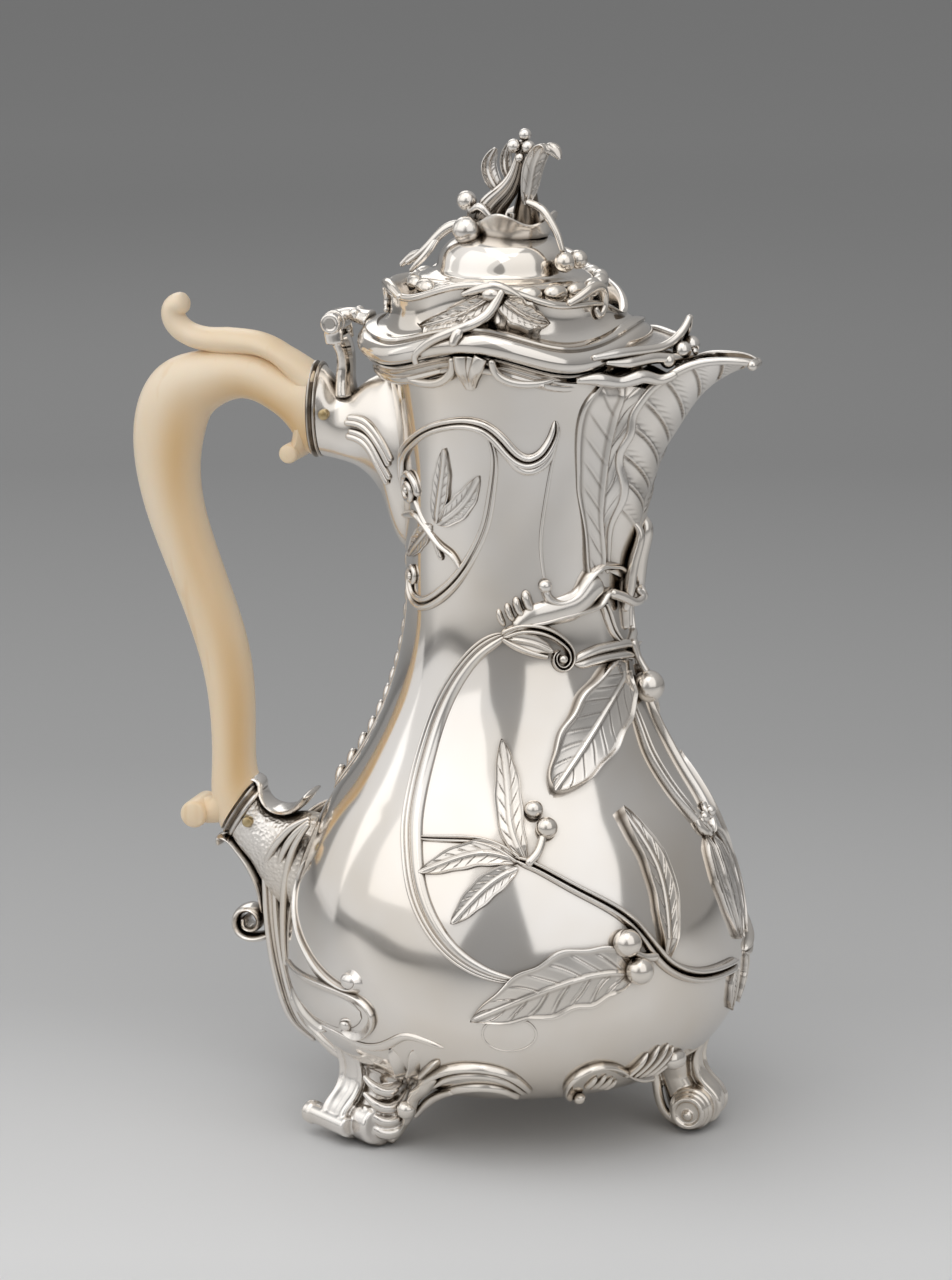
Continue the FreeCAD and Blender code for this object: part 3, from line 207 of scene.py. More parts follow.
def bar(form, route, radii, wide=None, facing=None, rows=0, sides=14, edge=None, dark=0.0):
    """A bar with rounded ends along a smooth line. It may be wider along its facing than it is thick."""
    rows = rows or rows_for(route, BAR_PITCH)
    line = spline(route, rows) if len(route) > 2 else np.linspace(route[0], route[1], rows)
    share = np.linspace(0, 1, rows)
    through = blend(radii, share)
    wide = through if wide is None else blend(wide, share)
    stations = [(i, 0.0, 1.0) for i in range(rows)]
    for lean in CAP_LEANS:
        for end, way in ((0, -1), (rows - 1, 1)):
            least = min(through[end], wide[end])
            tip = least if edge is None else edge
            cap = (end, way * tip * math.cos(lean), max(1 - tip * (1 - math.sin(lean)) / least, 0.05))
            stations = stations + [cap] if end else [cap] + stations
    side = ANY_SIDE if facing is None else np.asarray(facing, float)
    along = directions(line)
    sideways = []
    for direction in along:
        side = unit(side - direction * (side @ direction))
        sideways.append(side)
    angle = np.linspace(0, 2 * np.pi, sides, endpoint=False)[:, None]
    rings = []
    for i, shift, scale in stations:
        out = sideways[i] * (wide[i] * scale) * np.cos(angle)
        out = out + np.cross(along[i], sideways[i]) * (through[i] * scale) * np.sin(angle)
        rings.append(line[i] + along[i] * shift + out)
    form.loft(np.array(rings), dark)


def drum(form, centre, near, far, radius, edge, sides=36):
    """A round bar across the pot, from one distance to another on a centre."""
    ends = np.array([centre + ACROSS * near, centre + ACROSS * far])
    bar(form, ends, radius, rows=2, sides=sides, edge=edge)


def strap(form, route, half_thick, half_wide, y=0.0, **options):
    """A flat bar along the pot through (x, height), wide across the pot."""
    bar(form, flat(route, y), half_thick, wide=half_wide, facing=ACROSS, **options)


def both_sides(form, route, radii, **options):
    """The same bar on each side of the pot."""
    for hand in SIDES:
        bar(form, np.array(route) * (1, hand, 1), radii, **options)


def lid_bar(form, places, radii, **options):
    """A bar through (bearing, height, reach) about the lid's axis."""
    bar(form, [polar(*place, LID_X) for place in places], radii, **options)


def hoop(form, centre, radius, thick, rows):
    """A round bar bent into a ring that stands along the pot."""
    turn = np.radians(np.linspace(0, 360, 25))
    ring = np.stack([radius * np.cos(turn), 0 * turn, radius * np.sin(turn)], -1)
    bar(form, ring + centre, thick, rows=rows, sides=10)


def ball(form, centre, radius, stretch=(1, 1, 1), bearing=0.0, sides=24, dark=0.0):
    """A ball, stretched along its own radial, tangential and upright axes."""
    tilt = np.linspace(-np.pi / 2, np.pi / 2, sides // 2 + 1)[1:-1, None]
    spin = np.linspace(0, 2 * np.pi, sides, endpoint=False)[None, :]
    round_points = np.cos(tilt) * np.cos(spin), np.cos(tilt) * np.sin(spin), np.sin(tilt) + 0 * spin
    form.loft(np.stack(round_points, -1) * radius * np.array(stretch) @ turning(bearing) + centre, dark)


def balls(form, places):
    """Balls at (x, y, height, radius)."""
    for *centre, radius in places:
        ball(form, centre, radius)


def lathe(form, outline, centre_x=0.0, wave=None, swing=1.0, sides=240, start=0.0, end=360.0, dark=0.0):
    """A closed outline of (radius, height) carried round an axis. Its points swing with the wave."""
    outline = np.asarray(outline, float)
    whole = end - start == 360.0
    bearings = np.linspace(start, end, sides, endpoint=not whole)
    rise = np.outer(wave(bearings) if wave else 0 * bearings, np.broadcast_to(swing, len(outline)))
    angle = np.radians(bearings)[:, None]
    rings = np.stack([
        centre_x + outline[:, 0] * np.cos(angle), -outline[:, 0] * np.sin(angle), outline[:, 1] + rise
    ], -1)
    form.loft(rings, np.broadcast_to(dark, rings.shape[:2]), closed=whole)


class Skin:
    """A turned surface that ornament is laid on."""

    def __init__(self, radius, centre_x=0.0, wave=None):
        self.radius = radius
        self.centre_x = centre_x
        self.wave = wave or np.zeros_like

    def at(self, bearing, height, lift=0.0):
        bearing = np.asarray(bearing, float)
        height = np.asarray(height, float)
        level = height - self.wave(bearing)
        step = 0.1
        slope = (self.radius(level + step) - self.radius(level - step)) / (2 * step)
        length = np.hypot(1.0, slope)
        reach = self.radius(level) + lift / length
        angle = np.radians(bearing)
        return np.stack([
            self.centre_x + reach * np.cos(angle), -reach * np.sin(angle), height - lift * slope / length
        ], -1)

    def path(self, places):
        """Points on the skin from (bearing, height) or (bearing, height, lift)."""
        return self.at(*np.transpose(np.asarray(places, float)))

    def drape(self, points, lift):
        bearing = np.degrees(np.arctan2(-points[..., 1], points[..., 0] - self.centre_x))
        return self.at(bearing, points[..., 2], lift)

    def line(self, route, pitch):
        """A smooth line on the skin, and the direction across it."""
        points = self.path(route)
        line = spline(points, rows_for(points, pitch))
        out = unit(self.drape(line, 1.0) - self.drape(line, 0.0))
        return line, unit(np.cross(out, directions(line)))


def sheet(form, top, under, dark, under_dark=1.0):
    """A closed piece between an upper and a lower grid of points."""
    shades = np.concatenate([dark, np.full_like(dark, under_dark)], axis=1)
    form.loft(np.concatenate([top, under[:, ::-1]], axis=1), shades)


def lay(form, skin, points, lifts, dark, sink=0.4):
    """A piece of relief: a grid of points lifted off the skin, over the same points sunk under it."""
    sheet(form, skin.drape(points, lifts), skin.drape(points, np.full(lifts.shape, -sink)), dark)


def reeded(*reeds, samples=29):
    """The cross-section of a band: reeds as (middle, half width, height) on a width from -1 to 1."""
    across = np.linspace(-1, 1, samples)
    lifts = np.zeros(samples)
    for centre, half, height in reeds:
        inside = np.clip(1 - ((across - centre) / half) ** 2, 0, 1)
        lifts = np.maximum(lifts, height * inside**0.75)
    return across, lifts - 0.06, np.clip(1 - 2.6 * lifts / lifts.max(), 0, 1)


def swelling(samples=29):
    """The cross-section of a band that rises slowly from one side and drops sharply at the other."""
    across = np.linspace(-1, 1, samples)
    crest = 0.5
    rise = np.clip((across + 1) / (1 + crest), 0, 1) ** 1.3
    drop = np.sqrt(np.clip(1 - ((across - crest) / (1 - crest)) ** 2, 0, 1))
    lifts = np.where(across < crest, rise, drop)
    return across, lifts - 0.04, np.where(across < crest, 0.0, np.clip(1 - 2.6 * lifts, 0, 1))


ROUND = reeded((0, 1, 1.0))
DOUBLE = reeded((-0.5, 0.52, 0.9), (0.5, 0.52, 1.0))
SCROLL = reeded((0.42, 0.58, 1.0), (-0.35, 0.26, 0.8), (-0.78, 0.22, 0.6))
SWELL = swelling()


def band(form, skin, route, half_width, tall=1.0, section=ROUND, ends=(0.05, 0.05), pitch=BAND_PITCH):
    """A raised band on a skin. Half widths and heights run along it."""
    line, side = skin.line(route, pitch)
    share = np.linspace(0, 1, len(line))
    ease = rounding(share, *ends)
    across, lifts, dark = section
    spread = across[None, :] * (blend(half_width, share) * ease)[:, None]
    points = line[:, None] + side[:, None] * spread[..., None]
    heights = lifts[None, :] * (blend(tall, share) * ease)[:, None]
    lay(form, skin, points, heights, np.broadcast_to(dark, heights.shape))


RIM_PLACE, RIM_WIDTH, RIB_WIDTH = 0.94, 0.07, 0.5
RIB_GROOVE, RIM_GROOVE = 0.9, 0.83
VEIN_SLANT, VEIN_STAGGER, VEIN_WIDTH = 0.2, 0.4, 0.05
VEIN_DEPTH, VEIN_BANK, BANK_AWAY = 0.22, 0.14, 0.12


def leaf_relief(share, across, half, rib, rim, veins, hollow):
    """Lift and darkness of a chased leaf: hollow blade, midrib, rolled rim and fine slanting veins."""
    reach = np.abs(across)
    off_rib = reach * np.maximum(half, 0.3)
    lift = rim * bell(reach - RIM_PLACE, RIM_WIDTH) - hollow * (1 - reach**2) + rib * bell(off_rib,
                                                                                           RIB_WIDTH)
    dark = 0.55 * bell(off_rib - RIB_GROOVE, 0.3) + 0.4 * bell(reach - RIM_GROOVE, 0.06)
    if veins:
        phase = (veins * (share - VEIN_SLANT * reach) + VEIN_STAGGER * (across > 0)) % 1.0 - 0.5
        cut = bell(phase, VEIN_WIDTH)
        fade = np.clip(4 * (0.84 - reach), 0, 1) * np.clip(off_rib - 0.4, 0, 1)
        lift = lift + fade * (VEIN_BANK * bell(phase - BANK_AWAY, 0.07) - VEIN_DEPTH * cut)
        dark = dark + fade * 0.75 * cut
    return lift, np.clip(dark, 0, 1)


def leaf(form, skin, route, half_width, lift=0.9, rib=0.35, rim=0.3, veins=8, hollow=0.3, tip=0.0, wavy=0.04,
         base=0.6, point=0.75, columns=45):
    """A leaf laid on a skin along its midrib. Base and point say how its outline widens and narrows."""
    line, side = skin.line(route, FINE_PITCH)
    share = np.linspace(0, 1, len(line))[:, None]
    across = np.linspace(-1, 1, columns)[None, :]
    widest = base / (base + point)
    outline = np.clip(share, 0.004, 1) ** base * np.clip(1 - share, 0.002, 1) ** point
    half = half_width * outline / (widest**base * (1 - widest) ** point)
    half = half * (1 + wavy * np.sin(share * 23.0 + across * 1.5))
    points = line[:, None] + side[:, None] * (across * half)[..., None]
    lifts, dark = leaf_relief(share, across, half, rib, rim, veins, hollow)
    level = lift * np.clip(share / 0.12, 0.25, 1) + tip * share**4
    lay(form, skin, points, np.maximum(level + lifts, 0.12), dark)


def blade(form, midline, half_width, side, cup=0.25, thick=0.9, veins=6, columns=25):
    """A leaf standing free, along a midline, spread to its two sides and cupped."""
    line = spline(midline, rows_for(midline, FINE_PITCH))
    along = directions(line)
    side = unit(np.asarray(side, float) - along * (along @ np.asarray(side, float))[:, None])
    out = np.cross(along, side)
    share = np.linspace(0, 1, len(line))[:, None]
    across = np.linspace(-1, 1, columns)[None, :]
    half = half_width * np.clip(share, 0.02, 1) ** 0.5 * np.clip(1 - share, 0.01, 1) ** 0.55 / 0.48
    lifts, dark = leaf_relief(share, across, half, 0.2, 0.15, veins, 0.0)
    rise = cup * half * across**2 + lifts
    top = line[:, None] + side[:, None] * (across * half)[..., None] + out[:, None] * rise[..., None]
    under = top - out[:, None] * (thick * (1 - 0.6 * across**2))[..., None]
    sheet(form, top, under, dark, under_dark=0.2)


# Surface finishes
class Finish:
    """A material and the few kinds of node that the finishes are made of."""

    def __init__(self, name):
        self.material = bpy.data.materials.new(name)
        self.material.use_nodes = True
        self.tree = self.material.node_tree
        self.shader = self.tree.nodes["Principled BSDF"]
        self.place = self.tree.nodes.new("ShaderNodeTexCoord").outputs["Object"]

    def node(self, kind, links=(), inputs=None, **values):
        node = self.tree.nodes.new(kind)
        for key, value in values.items():
            setattr(node, key, value)
        set_inputs(node, inputs or {})
        for socket, source in links:
            self.tree.links.new(source, node.inputs[socket])
        return node

    def noise(self, scale, detail=3.0, stretch=(1.0, 1.0, 1.0)):
        mapping = self.node("ShaderNodeMapping", [("Vector", self.place)], {"Scale": stretch})
        links = [("Vector", mapping.outputs["Vector"])]
        return self.node("ShaderNodeTexNoise", links, {"Scale": scale, "Detail": detail}).outputs["Fac"]

    def ramp(self, source, *stops):
        node = self.node("ShaderNodeValToRGB", [("Fac", source)])
        set_stops(node.color_ramp, stops)
        return node.outputs["Color"]

    def mix(self, share, first, second):
        return self.node("ShaderNodeMix", [(0, share), (6, first), (7, second)], data_type="RGBA").outputs[2]

    def largest(self, first, second):
        return self.node("ShaderNodeMath", [(0, first), (1, second)], operation="MAXIMUM").outputs[0]

    def range(self, source, low, high):
        ends = {"To Min": low, "To Max": high}
        return self.node("ShaderNodeMapRange", [("Value", source)], ends).outputs["Result"]

    def patina_and_painted_shade(self):
        """How dark a place is, as the shapes record it: tarnish in chased work, amber in the ivory, and
        painted shade on the finial's trunk and the handle's inner side.
        """
        return self.node("ShaderNodeAttribute", attribute_name="patina_and_painted_shade").outputs["Fac"]

    def bump(self, source, strength, distance):
        node = self.node("ShaderNodeBump", [("Height", source)], {"Strength": strength, "Distance": distance})
        self.feed("Normal", node.outputs["Normal"])

    def feed(self, socket, source):
        self.tree.links.new(source, self.shader.inputs[socket])


def set_inputs(node, values):
    for socket, value in values.items():
        node.inputs[socket].default_value = value


def set_stops(ramp, stops):
    """Fill a colour ramp from (position, grey) or (position, colour)."""
    while len(ramp.elements) < len(stops):
        ramp.elements.new(1.0)
    for element, (position, colour) in zip(ramp.elements, stops):
        element.position = position
        element.color = (*np.broadcast_to(colour, 3), 1.0)


SILVER = (0.91, 0.872, 0.83)
WARM_SILVER = (0.85, 0.785, 0.705)
TARNISH = (0.085, 0.062, 0.042)
OLD_SILVER = (0.20, 0.15, 0.10)
CLOUD_SCALE, GRIME_SCALE, WEAR_SCALE, STIPPLE_SCALE, HAMMER_SCALE = 22.0, 300.0, 110.0, 900.0, 70.0
HOLLOW_REACH, STIPPLE_DEPTH, HAMMER_DEPTH, SCRATCH_DEPTH = 3.4 * MM, 0.35 * MM, 1.0 * MM, 0.4 * MM
CREAM = [(0.30, (0.88, 0.67, 0.42)), (0.48, (0.92, 0.76, 0.56)), (0.64, (0.95, 0.84, 0.69))]
# Amber of the ivory; the same colour is painted as shade on the handle's inner side
AMBER_AND_PAINTED_SHADE = [(0.3, (0.72, 0.46, 0.20)), (0.7, (0.86, 0.64, 0.38))]
# Noise scale, detail and stretch
IVORY_GRAIN = (22.0, 4.0, (1.0, 1.0, 0.16))
IVORY_LINES = (240.0, 2.0, (1.0, 1.0, 0.05))
IVORY_SCRATCHES = (260.0, 2.0, (1.0, 1.0, 0.1))
IVORY_GLOW = (4.0 * MM, 2.4 * MM, 1.2 * MM)
WORN_BRASS = [(0.3, (0.42, 0.30, 0.14)), (0.7, (0.70, 0.58, 0.36))]


def silver(name, roughness, crevice, bump=0.05, stipple=False):
    """Silver, tarnished brown in its hollows and where the shapes record it (on the finial's trunk that is
    painted shade), with hand-worked unevenness.
    """
    finish = Finish(name)
    bright = finish.ramp(finish.noise(CLOUD_SCALE), (0.40, SILVER), (0.68, WARM_SILVER))
    old = finish.ramp(finish.noise(GRIME_SCALE), (0.3, TARNISH), (0.75, OLD_SILVER))
    hollow = finish.node("ShaderNodeAmbientOcclusion", inputs={"Distance": HOLLOW_REACH}, samples=6)
    shaded = finish.ramp(hollow.outputs["AO"], (0.28, crevice), (0.80, 0.0))
    # Darkness the shapes record: tarnish in chased work, and painted shade on the finial's trunk
    tarnish_and_painted_shade = finish.range(finish.patina_and_painted_shade(), 0.0, crevice)
    finish.feed("Base Color", finish.mix(finish.largest(shaded, tarnish_and_painted_shade), bright, old))
    set_inputs(finish.shader, {"Metallic": 1.0})
    finish.feed("Roughness", finish.range(finish.noise(WEAR_SCALE), *roughness))
    if stipple:
        cells = finish.node("ShaderNodeTexVoronoi", [("Vector", finish.place)], {"Scale": STIPPLE_SCALE})
        finish.bump(cells.outputs["Distance"], 0.9, STIPPLE_DEPTH)
    else:
        finish.bump(finish.noise(HAMMER_SCALE, 1.0), bump, HAMMER_DEPTH)
    return finish.material


def ivory():
    """Cream ivory with fine upright grain, amber along grain lines and where the shapes record it; on the
    handle's inner side that is partly painted shade.
    """
    finish = Finish("ivory")
    grain = finish.noise(*IVORY_GRAIN)
    cream = finish.ramp(grain, *CREAM)
    amber_and_painted_shade = finish.ramp(grain, *AMBER_AND_PAINTED_SHADE)
    lines = finish.ramp(finish.noise(*IVORY_LINES), (0.30, 0.30), (0.42, 0.0))
    finish.feed("Base Color", finish.mix(finish.largest(lines, finish.patina_and_painted_shade()), cream, amber_and_painted_shade))
    finish.feed("Roughness", finish.range(grain, 0.24, 0.36))
    set_inputs(finish.shader, {"Subsurface Weight": 0.12, "Subsurface Radius": IVORY_GLOW})
    finish.bump(finish.noise(*IVORY_SCRATCHES), 0.06, SCRATCH_DEPTH)
    return finish.material


def brass():
    finish = Finish("brass")
    finish.feed("Base Color", finish.ramp(finish.noise(500.0), *WORN_BRASS))
    set_inputs(finish.shader, {"Metallic": 1.0})
    finish.feed("Roughness", finish.range(finish.noise(400.0), 0.25, 0.45))
    return finish.material


POLISHED = silver("polished_silver", (0.07, 0.15), 0.8, bump=0.04)
RELIEF = silver("relief_silver", (0.14, 0.26), 0.95)
MATTED = silver("matted_silver", (0.30, 0.42), 0.95, stipple=True)
IVORY = ivory()
BRASS = brass()


# Pieces in the shared frame
SHARP_ANGLE = math.radians(45)


def mesh_of(form, name):
    mesh = bpy.data.meshes.new(name)
    mesh.from_pydata(((np.array(form.points) + (AXIS_X, 0, 0)) * MM).tolist(), [], form.faces)
    return mesh


def cast(piece, grain, rounds):
    """Melt what a piece is made of into one skin, and wear it smooth."""
    melt = piece.modifiers.new("cast", "REMESH")
    melt.mode = "VOXEL"
    melt.voxel_size = grain * MM
    melt.use_smooth_shade = True
    wear = piece.modifiers.new("worn", "SMOOTH")
    wear.iterations = rounds


def build(form, node, material, body="pot", remesh=0.0, smooth=3, name=None):
    """Make a form into a piece that moves with its body. Without its own name it replaces the CAD node."""
    title = name or node + "_visual"
    mesh = mesh_of(form, title)
    shape = bmesh.new()
    shape.from_mesh(mesh)
    bmesh.ops.recalc_face_normals(shape, faces=shape.faces)
    shape.to_mesh(mesh)
    shape.free()
    # The shapes' darkness, kept for the materials: tarnish and amber, and painted shade on the finial's trunk
    # and the handle's inner side
    mesh.attributes.new("patina_and_painted_shade", "FLOAT", "POINT").data.foreach_set("value",
                                                                     np.array(form.dark, np.float32))
    mesh.polygons.foreach_set("use_smooth", [True] * len(mesh.polygons))
    mesh.set_sharp_from_angle(angle=SHARP_ANGLE)
    mesh.materials.append(material)
    piece = bpy.data.objects.new(title, mesh)
    bpy.context.scene.collection.objects.link(piece)
    if remesh:
        cast(piece, remesh, smooth)
    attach(piece, body)
    if name is None:
        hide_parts(node)
    return piece


def build_pair(form, node, material, body="pot"):
    build(form, node + "_right", material, body)
    build(form.mirrored(), node + "_left", material, body)


# Body shell
BELLY_RADIUS, BELLY_HEIGHT = 67.3, 49.5
NECK_RADIUS, NECK_HEIGHT = 32.0, 157.7
UNDER_ARC, BELLY_ARC, FLARE_ARC = 35.0, 85.6, 416.0
MOUTH_HEIGHT, WALL = 225.0, 1.2
REACH = NECK_RADIUS - BELLY_RADIUS + BELLY_ARC
RISE = NECK_HEIGHT - BELLY_HEIGHT
WAIST_ARC = (REACH**2 + RISE**2 - BELLY_ARC**2) / (2 * (BELLY_ARC - REACH))
TURN_HEIGHT = BELLY_HEIGHT + BELLY_ARC * math.sin(math.atan2(RISE, WAIST_ARC + REACH))
WAVE_DROP, SIDE_RISE, FRONT_RISE, BACK_RISE = 3.0, 6.0, 3.5, 1.2
STRAINER_HOLE, STRAINER_PITCH, STRAINER_HEIGHT = 1.5, 6.0, 186.0
SWELLS, RIPPLES, DIMPLES, FLUTING = 0.20, 0.10, 0.04, 0.40
UNEVEN_LOW, UNEVEN_HIGH = (22, 14), (215, 20)
LIP_LOW, LIP_SWING = 208.0, 0.9


def body_radius(height, inset=0.0):
    """Radius of the body at a height: four arcs, each tangent to the next."""
    low = np.square(np.asarray(height, float) - BELLY_HEIGHT)
    high = np.square(np.asarray(height, float) - NECK_HEIGHT)
    return np.select(
        [height < BELLY_HEIGHT, height < TURN_HEIGHT, height < NECK_HEIGHT],
        [
            BELLY_RADIUS - UNDER_ARC + np.sqrt(np.maximum((UNDER_ARC - inset) ** 2 - low, 0.0)),
            BELLY_RADIUS - BELLY_ARC + np.sqrt(np.maximum((BELLY_ARC - inset) ** 2 - low, 0.0)),
            NECK_RADIUS + WAIST_ARC - np.sqrt(np.maximum((WAIST_ARC + inset) ** 2 - high, 0.0)),
        ],
        NECK_RADIUS + FLARE_ARC - np.sqrt((FLARE_ARC + inset) ** 2 - high),
    )


def wave(bearing):
    """Rise and fall of the mouth and the lid, highest at the two sides."""
    angle = np.radians(bearing)
    ends = np.where(np.cos(angle) > 0, FRONT_RISE, BACK_RISE)
    rise = np.where(np.cos(2 * angle) < 0, SIDE_RISE, ends)
    return rise * np.cos(2 * angle) ** 2 - WAVE_DROP


BODY = Skin(body_radius)


def unevenness(angle, height):
    """How far the wall strays from its turned shape: hammered, and drawn in long streaks up the neck."""
    swells = SWELLS * np.sin(3 * angle + height / 17) * np.sin(height / 23 + 1.3)
    ripples = RIPPLES * np.sin(7 * angle - height / 11)
    dimples = DIMPLES * np.sin(13 * angle + height / 6) * np.sin(height / 8)
    streaks = FLUTING * np.sin(9 * angle + 0.7 * np.sin(height / 14)) * bell(height - NECK_HEIGHT - 22, 34)
    start, start_span = UNEVEN_LOW
    end, end_span = UNEVEN_HIGH
    ease = np.clip((height - start) / start_span, 0, 1) * np.clip((end - height) / end_span, 0, 1)
    return (swells + ripples + dimples + streaks) * ease


def body_shell():
    """The raised wall, with its mouth following the wave of the lid and a strainer behind the spout."""
    bearings = np.linspace(0, 360, 360, endpoint=False)
    bottom = BELLY_HEIGHT - UNDER_ARC
    walls = []
    for inset in (0.0, WALL):
        heights = bottom + inset + (MOUTH_HEIGHT - bottom - inset) * np.linspace(0, 1, 200) ** 1.25
        walls.append(np.stack([body_radius(heights, inset), heights], -1))
    outline = np.concatenate([walls[0], walls[1][::-1]])
    angle = np.radians(bearings)[:, None]
    height = outline[:, 1][None, :]
    radius = outline[:, 0] + unevenness(angle, height)
    lip = np.clip((height - LIP_LOW) / (MOUTH_HEIGHT - LIP_LOW), 0, 1) ** 2
    rise = height + LIP_SWING * lip * wave(bearings)[:, None]
    form = Form()
    form.loft(np.stack([radius * np.cos(angle), -radius * np.sin(angle), rise], -1), closed=True)
    pierce(build(form, "body_shell", POLISHED), strainer_holes())


def strainer_holes():
    holes = Form()
    through = np.array([10.0, 0, 0])
    for row in range(-2, 3):
        for column in range(-1, 2):
            place = np.array([NECK_RADIUS, column * STRAINER_PITCH, STRAINER_HEIGHT + row * STRAINER_PITCH])
            bar(holes, [place - through, place + through], STRAINER_HOLE, rows=2, sides=20, edge=0.01)
    return holes


def pierce(piece, holes):
    """Cut holes through a piece."""
    tool = bpy.data.objects.new("holes", mesh_of(holes, "holes"))
    bpy.context.scene.collection.objects.link(tool)
    cut = piece.modifiers.new("holes", "BOOLEAN")
    cut.operation = "DIFFERENCE"
    cut.object = tool
    cut.solver = "EXACT"
    holed = bpy.data.meshes.new_from_object(piece.evaluated_get(bpy.context.evaluated_depsgraph_get()))
    piece.modifiers.remove(cut)
    piece.data = holed
    bpy.data.objects.remove(tool)


# Mouth moulding and its clasps
RING_HEIGHT = 228.6
MOULDING_LOW = RING_HEIGHT - 6.0
MOULDING_OPEN = 28.0
FRONT_BLUNT = 0.10
CLASP_BEARING = 90.0


def blunt(points):
    """Draws in the front of what is round about the lid's axis, so that its plan is a blunt egg."""
    ahead = np.clip(points[:, 0] - LID_X, 0, None)
    points[:, 0] -= FRONT_BLUNT * ahead**2 / np.maximum(np.hypot(ahead, points[:, 1]), 1e-6)
    return points


def mouth_moulding():
    form = Form()
    outline = [
        (37.1, 0.3), (38.4, 0.1), (39.3, 0.5), (39.9, 1.3), (39.8, 2.1), (39.2, 2.5), (39.0, 2.8),
        (39.1, 3.4), (39.6, 4.1), (40.5, 4.6), (41.3, 4.8), (41.6, 5.1), (41.4, 5.5), (40.6, 5.6),
        (37.1, 5.6),
    ]
    dark = [0, 0.4, 0, 0, 0, 0.3, 0.5, 0.3, 0, 0, 0, 0, 0, 0.4, 0.6]
    raised = [(radius, MOULDING_LOW + height) for radius, height in outline]
    lathe(form, raised, LID_X, wave, start=MOULDING_OPEN, end=360 - MOULDING_OPEN, sides=260, dark=dark)
    build(form.moved(blunt), "mouth_moulding", POLISHED)


def rim_clasps():
    """A fluted tongue over the moulding on each side, with the moulding's ends turned up beside it."""
    form = Form()
    for step, scale in ((-1, 1.0), (0, 0.6), (1, 1.0)):
        tongue = [(92 + 0.5 * step, 221.6, 37.4), (92 + 1.6 * step, 224.6, 38.8),
                  (91 + 2.8 * step, 227.4, 41.0), (CLASP_BEARING + 4.0 * step, 230.8, 41.6)]
        lid_bar(form, tongue, scale * np.array([1.2, 1.8, 2.1, 2.2]), edge=0.4)
    left = [(97.5, 229.6, 41.6), (98.2, 226.6, 40.8), (104, 222.9, 39.8), (119, 221.9, 38.6),
            (140, 222.4, 37.6)]
    right = [(81.6, 229.6, 41.6), (80.2, 226.6, 40.8), (74, 223.8, 39.8), (59, 223.4, 38.6),
             (46, 225.9, 37.8)]
    for turned in (left, right):
        lid_bar(form, turned, [1.1, 1.3, 1.3, 1.1, 0.6])
    build(form.join(form.mirrored()).moved(blunt), "rim_clasps", RELIEF)


# Lid
GALLERY = [
    (39.4, 235.9), (38.2, 236.2), (37.0, 236.9), (36.0, 238.0), (35.3, 239.6), (34.9, 241.4), (34.7, 243.2),
    (34.8, 244.8), (35.1, 246.0),
]
GALLERY_TOP, LIP = 247.0, 1.1
FRONT_DIP, FRONT_MIDDLE, FRONT_HALF, FRONT_LOW = 0.9, -8.0, 30.0, 237.0
DOME = [
    (1.5, 262.2), (6.0, 261.8), (9.5, 260.4), (12.2, 259.2), (14.9, 257.9), (17.0, 256.0), (18.4, 253.6),
    (19.0, 251.4), (19.5, 250.1), (21.0, 249.1), (23.8, 248.4), (25.6, 247.2),
]
DOME_X = LID_X - 2.5
BEAD_HEIGHT = 246.1
BEAD_COUNT, BEAD_REACH, BEAD_RADIUS = 20, 27.8, 2.6


def lid_rim():
    form = Form()
    outline = [
        (38.6, 0.0), (41.7, 0.0), (42.6, 0.25), (43.5, 0.9), (44.05, 1.8), (44.2, 2.9), (43.95, 4.1),
        (43.3, 5.2), (42.4, 5.9), (41.7, 6.1), (41.5, 6.3), (41.6, 6.6), (41.9, 6.9), (41.8, 7.4),
        (41.2, 7.7), (39.8, 7.9), (38.6, 8.0),
    ]
    dark = [0, 0.4, 0.1, 0, 0, 0, 0, 0, 0, 0.3, 0.5, 0.3, 0, 0, 0, 0, 0]
    lathe(form, [(radius, RING_HEIGHT + height) for radius, height in outline], LID_X, wave, dark=dark)
    build(form.moved(blunt), "lid_rim", POLISHED, "lid")


def gallery_radius(level):
    radius, height = np.transpose(GALLERY)
    return np.interp(level, height, radius)


LID_WALL = Skin(gallery_radius, LID_X, wave)


def dip_front(points):
    """Lowers the gallery's lip towards the spout."""
    bearing = np.degrees(np.arctan2(-points[:, 1], points[:, 0] - LID_X))
    dip = FRONT_DIP * bell(bearing - FRONT_MIDDLE, FRONT_HALF)
    points[:, 2] -= dip * np.clip(points[:, 2] - FRONT_LOW, 0, None)
    return points


def lid_gallery():
    form = Form()
    turns = np.radians([-70, -35, 0, 35, 70, 105, 140, 180])
    lip = [(35.1 + LIP * math.cos(t), GALLERY_TOP + LIP * math.sin(t)) for t in turns]
    inside = [(33.4, 244.0), (33.0, 236.0), (32.8, 231.0), (38.4, 231.0)]
    lathe(form, GALLERY + lip + inside, LID_X, wave)
    form.moved(dip_front)
    front_curl = [(44, 244.6), (36, 246.4), (29, 248.0), (23, 247.6), (19.6, 244.6), (20.4, 241.0),
                  (24, 239.6), (26, 241.6)]
    back_curl = [(136, 244.2), (146, 246.0), (154, 246.4), (160, 245.4), (164, 242.0), (163, 239.0),
                 (159, 238.2)]
    for curl in (front_curl, back_curl):
        bar(form, LID_WALL.path([(*place, 0.7) for place in curl]), [1.1, 1.4, 1.6, 1.6, 1.4, 1.2, 0.9],
            sides=12)
    build(form.moved(blunt), "lid_gallery", POLISHED, "lid")


